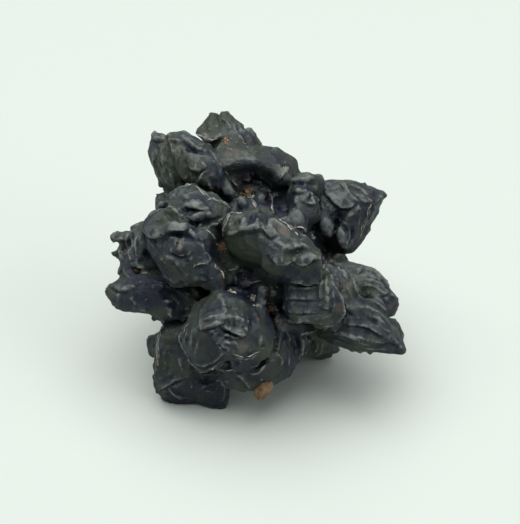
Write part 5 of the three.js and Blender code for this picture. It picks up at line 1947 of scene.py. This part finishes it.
@dataclass
class Crumbs:
    """Loose grains of crystal, rust and clay caught in the hollows on every side.

    Each kind of grain gives its rust, clay and wear, and shares say how often it comes up.
    """

    show: ShowSide
    finish: bpy.types.Material
    count: int = 1500
    heap: int = 16
    batch: int = 50
    smallest: float = 0.07
    largest: float = 0.22
    deep: float = -0.55
    points_each: int = 12
    kinds: tuple[Place, ...] = ((0, 0, 0.6), (0.7, 0.4, 0), (0, 0.8, 0), (0, 0, 0))
    shares: tuple[int, ...] = (4, 1, 1, 4)
    seed: int = 23

    def heaps(self, skin: Skin, chance: random.Random) -> list[tuple[int, Place]]:
        """Finds where grains of rust and clay lie heaped on the show side.

        Args:
            skin: the skin they lie on.
            chance: the source of random choices.

        Returns:
            For each grain, the skin point it sits on and its rust, clay and wear.
        """
        tree = skin.tree()
        found = []
        for spot in SPOTS:
            hit = self.show.look(tree, spot.place)[0]
            if hit is None or max(spot.rust, spot.clay) < 0.5:
                continue
            away = np.linalg.norm(skin.points - np.array(hit), axis=1)
            near = np.nonzero(away < spot.reach * 1.1)[0].tolist()
            found += [(chance.choice(near), (spot.rust, spot.clay, 0.0)) for _ in range(self.heap)]
        return found

    def build(self, skin: Skin) -> bpy.types.Object:
        """Sets the grains on the skin.

        Args:
            skin: the skin they sit on.

        Returns:
            Their object.
        """
        chance = random.Random(self.seed)
        outward = skin.normals()
        deep = np.nonzero(skin.relief(60) < self.deep)[0].tolist()
        places = self.heaps(skin, chance)
        while len(places) < self.count:
            kind = chance.choices(self.kinds, self.shares)[0]
            places.append((chance.choice(deep), kind))
        # Grains are made in small batches, because an operator slows down as its shell fills.
        shell, batch = bmesh.new(), bmesh.new()
        mesh = bpy.data.meshes.new("crumbs")
        for number, (row, _) in enumerate(places, start=1):
            # Most grains are small, and each is sunk by two thirds of its half-width.
            size = self.smallest + (self.largest - self.smallest) * chance.random() ** 2.5
            spot = skin.points[row] + outward[row] * size * 0.3
            shape = Matrix.Diagonal([size * chance.uniform(0.7, 1.3) for _ in range(3)] + [1.0])
            angle = chance.uniform(0, 6.3)
            turn = Matrix.Rotation(angle, 4, Vector([chance.gauss(0, 1) for _ in range(3)]))
            at = Matrix.Translation(Vector(spot) * MM)
            bmesh.ops.create_icosphere(batch, subdivisions=1, radius=MM, matrix=at @ turn @ shape)
            if number % self.batch == 0:
                batch.to_mesh(mesh)
                shell.from_mesh(mesh)
                batch.clear()
        batch.free()
        shell.to_mesh(mesh)
        shell.free()
        made = add_object("crumbs", mesh)
        grains = Skin(mesh)
        columns = np.repeat(np.array([kind for _, kind in places]), self.points_each, axis=0).T
        for name, column in zip(("rust", "clay", "crest"), columns):
            grains.paint(name, column)
        dress(made, self.finish)
        return made


@dataclass
class RustNub:
    """A lump of rusty iron oxide stuck to the foot of the show side. Lumps on it give rise and fineness."""

    show: ShowSide
    finish: bpy.types.Material
    place: Point = (1.3, -22.3)
    long: float = 1.9
    wide: float = 1.1
    deep: float = 1.1
    turn: float = 48.0
    proud: float = 0.1
    lumps: tuple[Point, ...] = ((0.22, 1.3), (0.1, 3.4), (0.04, 9.0))
    rust: float = 0.62

    def build(self, skin: Skin) -> bpy.types.Object:
        """Shapes the lump.

        Args:
            skin: the skin it is stuck to.

        Returns:
            Its object.
        """
        aim = Vector(self.show.to_part((*self.place, 0.0)) - self.show.to_part(self.show.eye)).normalized()
        spot = self.show.look(skin.tree(), self.place)[0]
        shell = bmesh.new()
        bmesh.ops.create_icosphere(shell, subdivisions=5, radius=1.0)
        for vert in shell.verts:
            way = vert.co.copy()
            vert.co *= 1 + sum(rise * noise.noise(way * fineness) for rise, fineness in self.lumps)
        at = Matrix.Translation((spot - aim * self.proud) * MM)
        turn = self.show.turn() @ Matrix.Rotation(math.radians(self.turn), 4, "Z")
        shape = Matrix.Diagonal((self.long * MM, self.wide * MM, self.deep * MM, 1.0))
        bmesh.ops.transform(shell, matrix=at @ turn @ shape, verts=shell.verts)
        made = add_object("rust_nub", new_mesh("rust_nub", shell))
        lump = Skin(made.data)
        lump.settle_on_floor()
        lump.paint("rust", np.full(len(lump.points), self.rust))
        dress(made, self.finish, smooth=True)
        return made


@dataclass(frozen=True)
class Studio:
    """The pale floor and the soft lights over it. A lamp has a place and a side in metres, and watts."""

    floor_side: float = 3.0
    floor_colour: str = "#bec5bd"
    floor_roughness: float = 0.9
    key: tuple[Place, float, float] = ((-0.1, 0.1, 1.05), 1.5, 24.0)
    fill: tuple[Place, float, float] = ((0.8, -0.35, 0.5), 0.8, 4.0)
    aim: Place = (0.0, 0.0, 0.02)
    sky_colour: str = "#dbe6f4"
    sky_strength: float = 0.2

    def build(self) -> None:
        """Lays the floor and hangs the lights."""
        sheet = bmesh.new()
        bmesh.ops.create_grid(sheet, x_segments=1, y_segments=1, size=self.floor_side / 2)
        floor = add_object("floor", new_mesh("floor", sheet))
        # Matt card has no gloss, so the floor shows only soft light and the nodule's shadow.
        card = bpy.data.materials.new("matt_card")
        card.use_nodes = True
        shader = card.node_tree.nodes["Principled BSDF"]
        shader.inputs["Base Color"].default_value = linear(self.floor_colour)
        shader.inputs["Roughness"].default_value = self.floor_roughness
        floor.data.materials.append(card)
        self.hang("key", *self.key)
        self.hang("fill", *self.fill)
        world = bpy.data.worlds.new("studio")
        bpy.context.scene.world = world
        world.use_nodes = True
        back = world.node_tree.nodes["Background"]
        back.inputs["Color"].default_value = linear(self.sky_colour)
        back.inputs["Strength"].default_value = self.sky_strength

    def hang(self, name: str, place: Place, side: float, power: float) -> None:
        """Hangs one square soft light, aimed at the nodule.

        Args:
            name: the light's name.
            place: where it hangs, in metres.
            side: its side, in metres.
            power: its power, in watts.
        """
        light = bpy.data.lights.new(name, "AREA")
        light.shape = "SQUARE"
        light.size = side
        light.energy = power
        away = Vector(place) - Vector(self.aim)
        turn = away.to_track_quat("Z", "Y").to_matrix().to_4x4()
        add_object(name, light).matrix_world = Matrix.Translation(place) @ turn


@dataclass(frozen=True)
class Camera:
    """The camera, square on to the show side."""

    pixels_per_mm: float = 6.0
    sensor: float = 36.0
    clip: tuple[float, float] = (0.01, 10.0)

    def build(self, show: ShowSide) -> None:
        """Sets the camera up.

        Args:
            show: the side the nodule is shown from.
        """
        view = bpy.data.cameras.new("camera")
        view.sensor_width = self.sensor
        view.sensor_fit = "AUTO"
        view.lens = self.sensor * show.eye[2] * self.pixels_per_mm / max(IMAGE_SIZE)
        view.clip_start, view.clip_end = self.clip
        camera = add_object("camera", view)
        camera.matrix_world = Matrix.Translation(Vector(show.to_part(show.eye) * MM)) @ show.turn()
        bpy.context.scene.camera = camera


def main() -> None:
    """Builds the scene in order and reports each piece."""
    logging.basicConfig(level=logging.INFO, format="%(name)s: %(message)s")
    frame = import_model()
    show = ShowSide()
    Camera().build(show)
    Studio().build()
    finish = WeatheredMarcasite().material()
    nodule, skin = Nodule(show, finish).build(frame["nodes"]["nodule"])
    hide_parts("nodule")
    seams = ClayAndHighlightSeams(show, finish).build(skin)
    crumbs = Crumbs(show, finish).build(skin)
    nub = RustNub(show, finish).build(skin)
    for piece in (nodule, seams, crumbs, nub):
        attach(piece, "root")
    bpy.context.scene.view_settings.view_transform = "Standard"


if __name__ == "__main__":
    main()
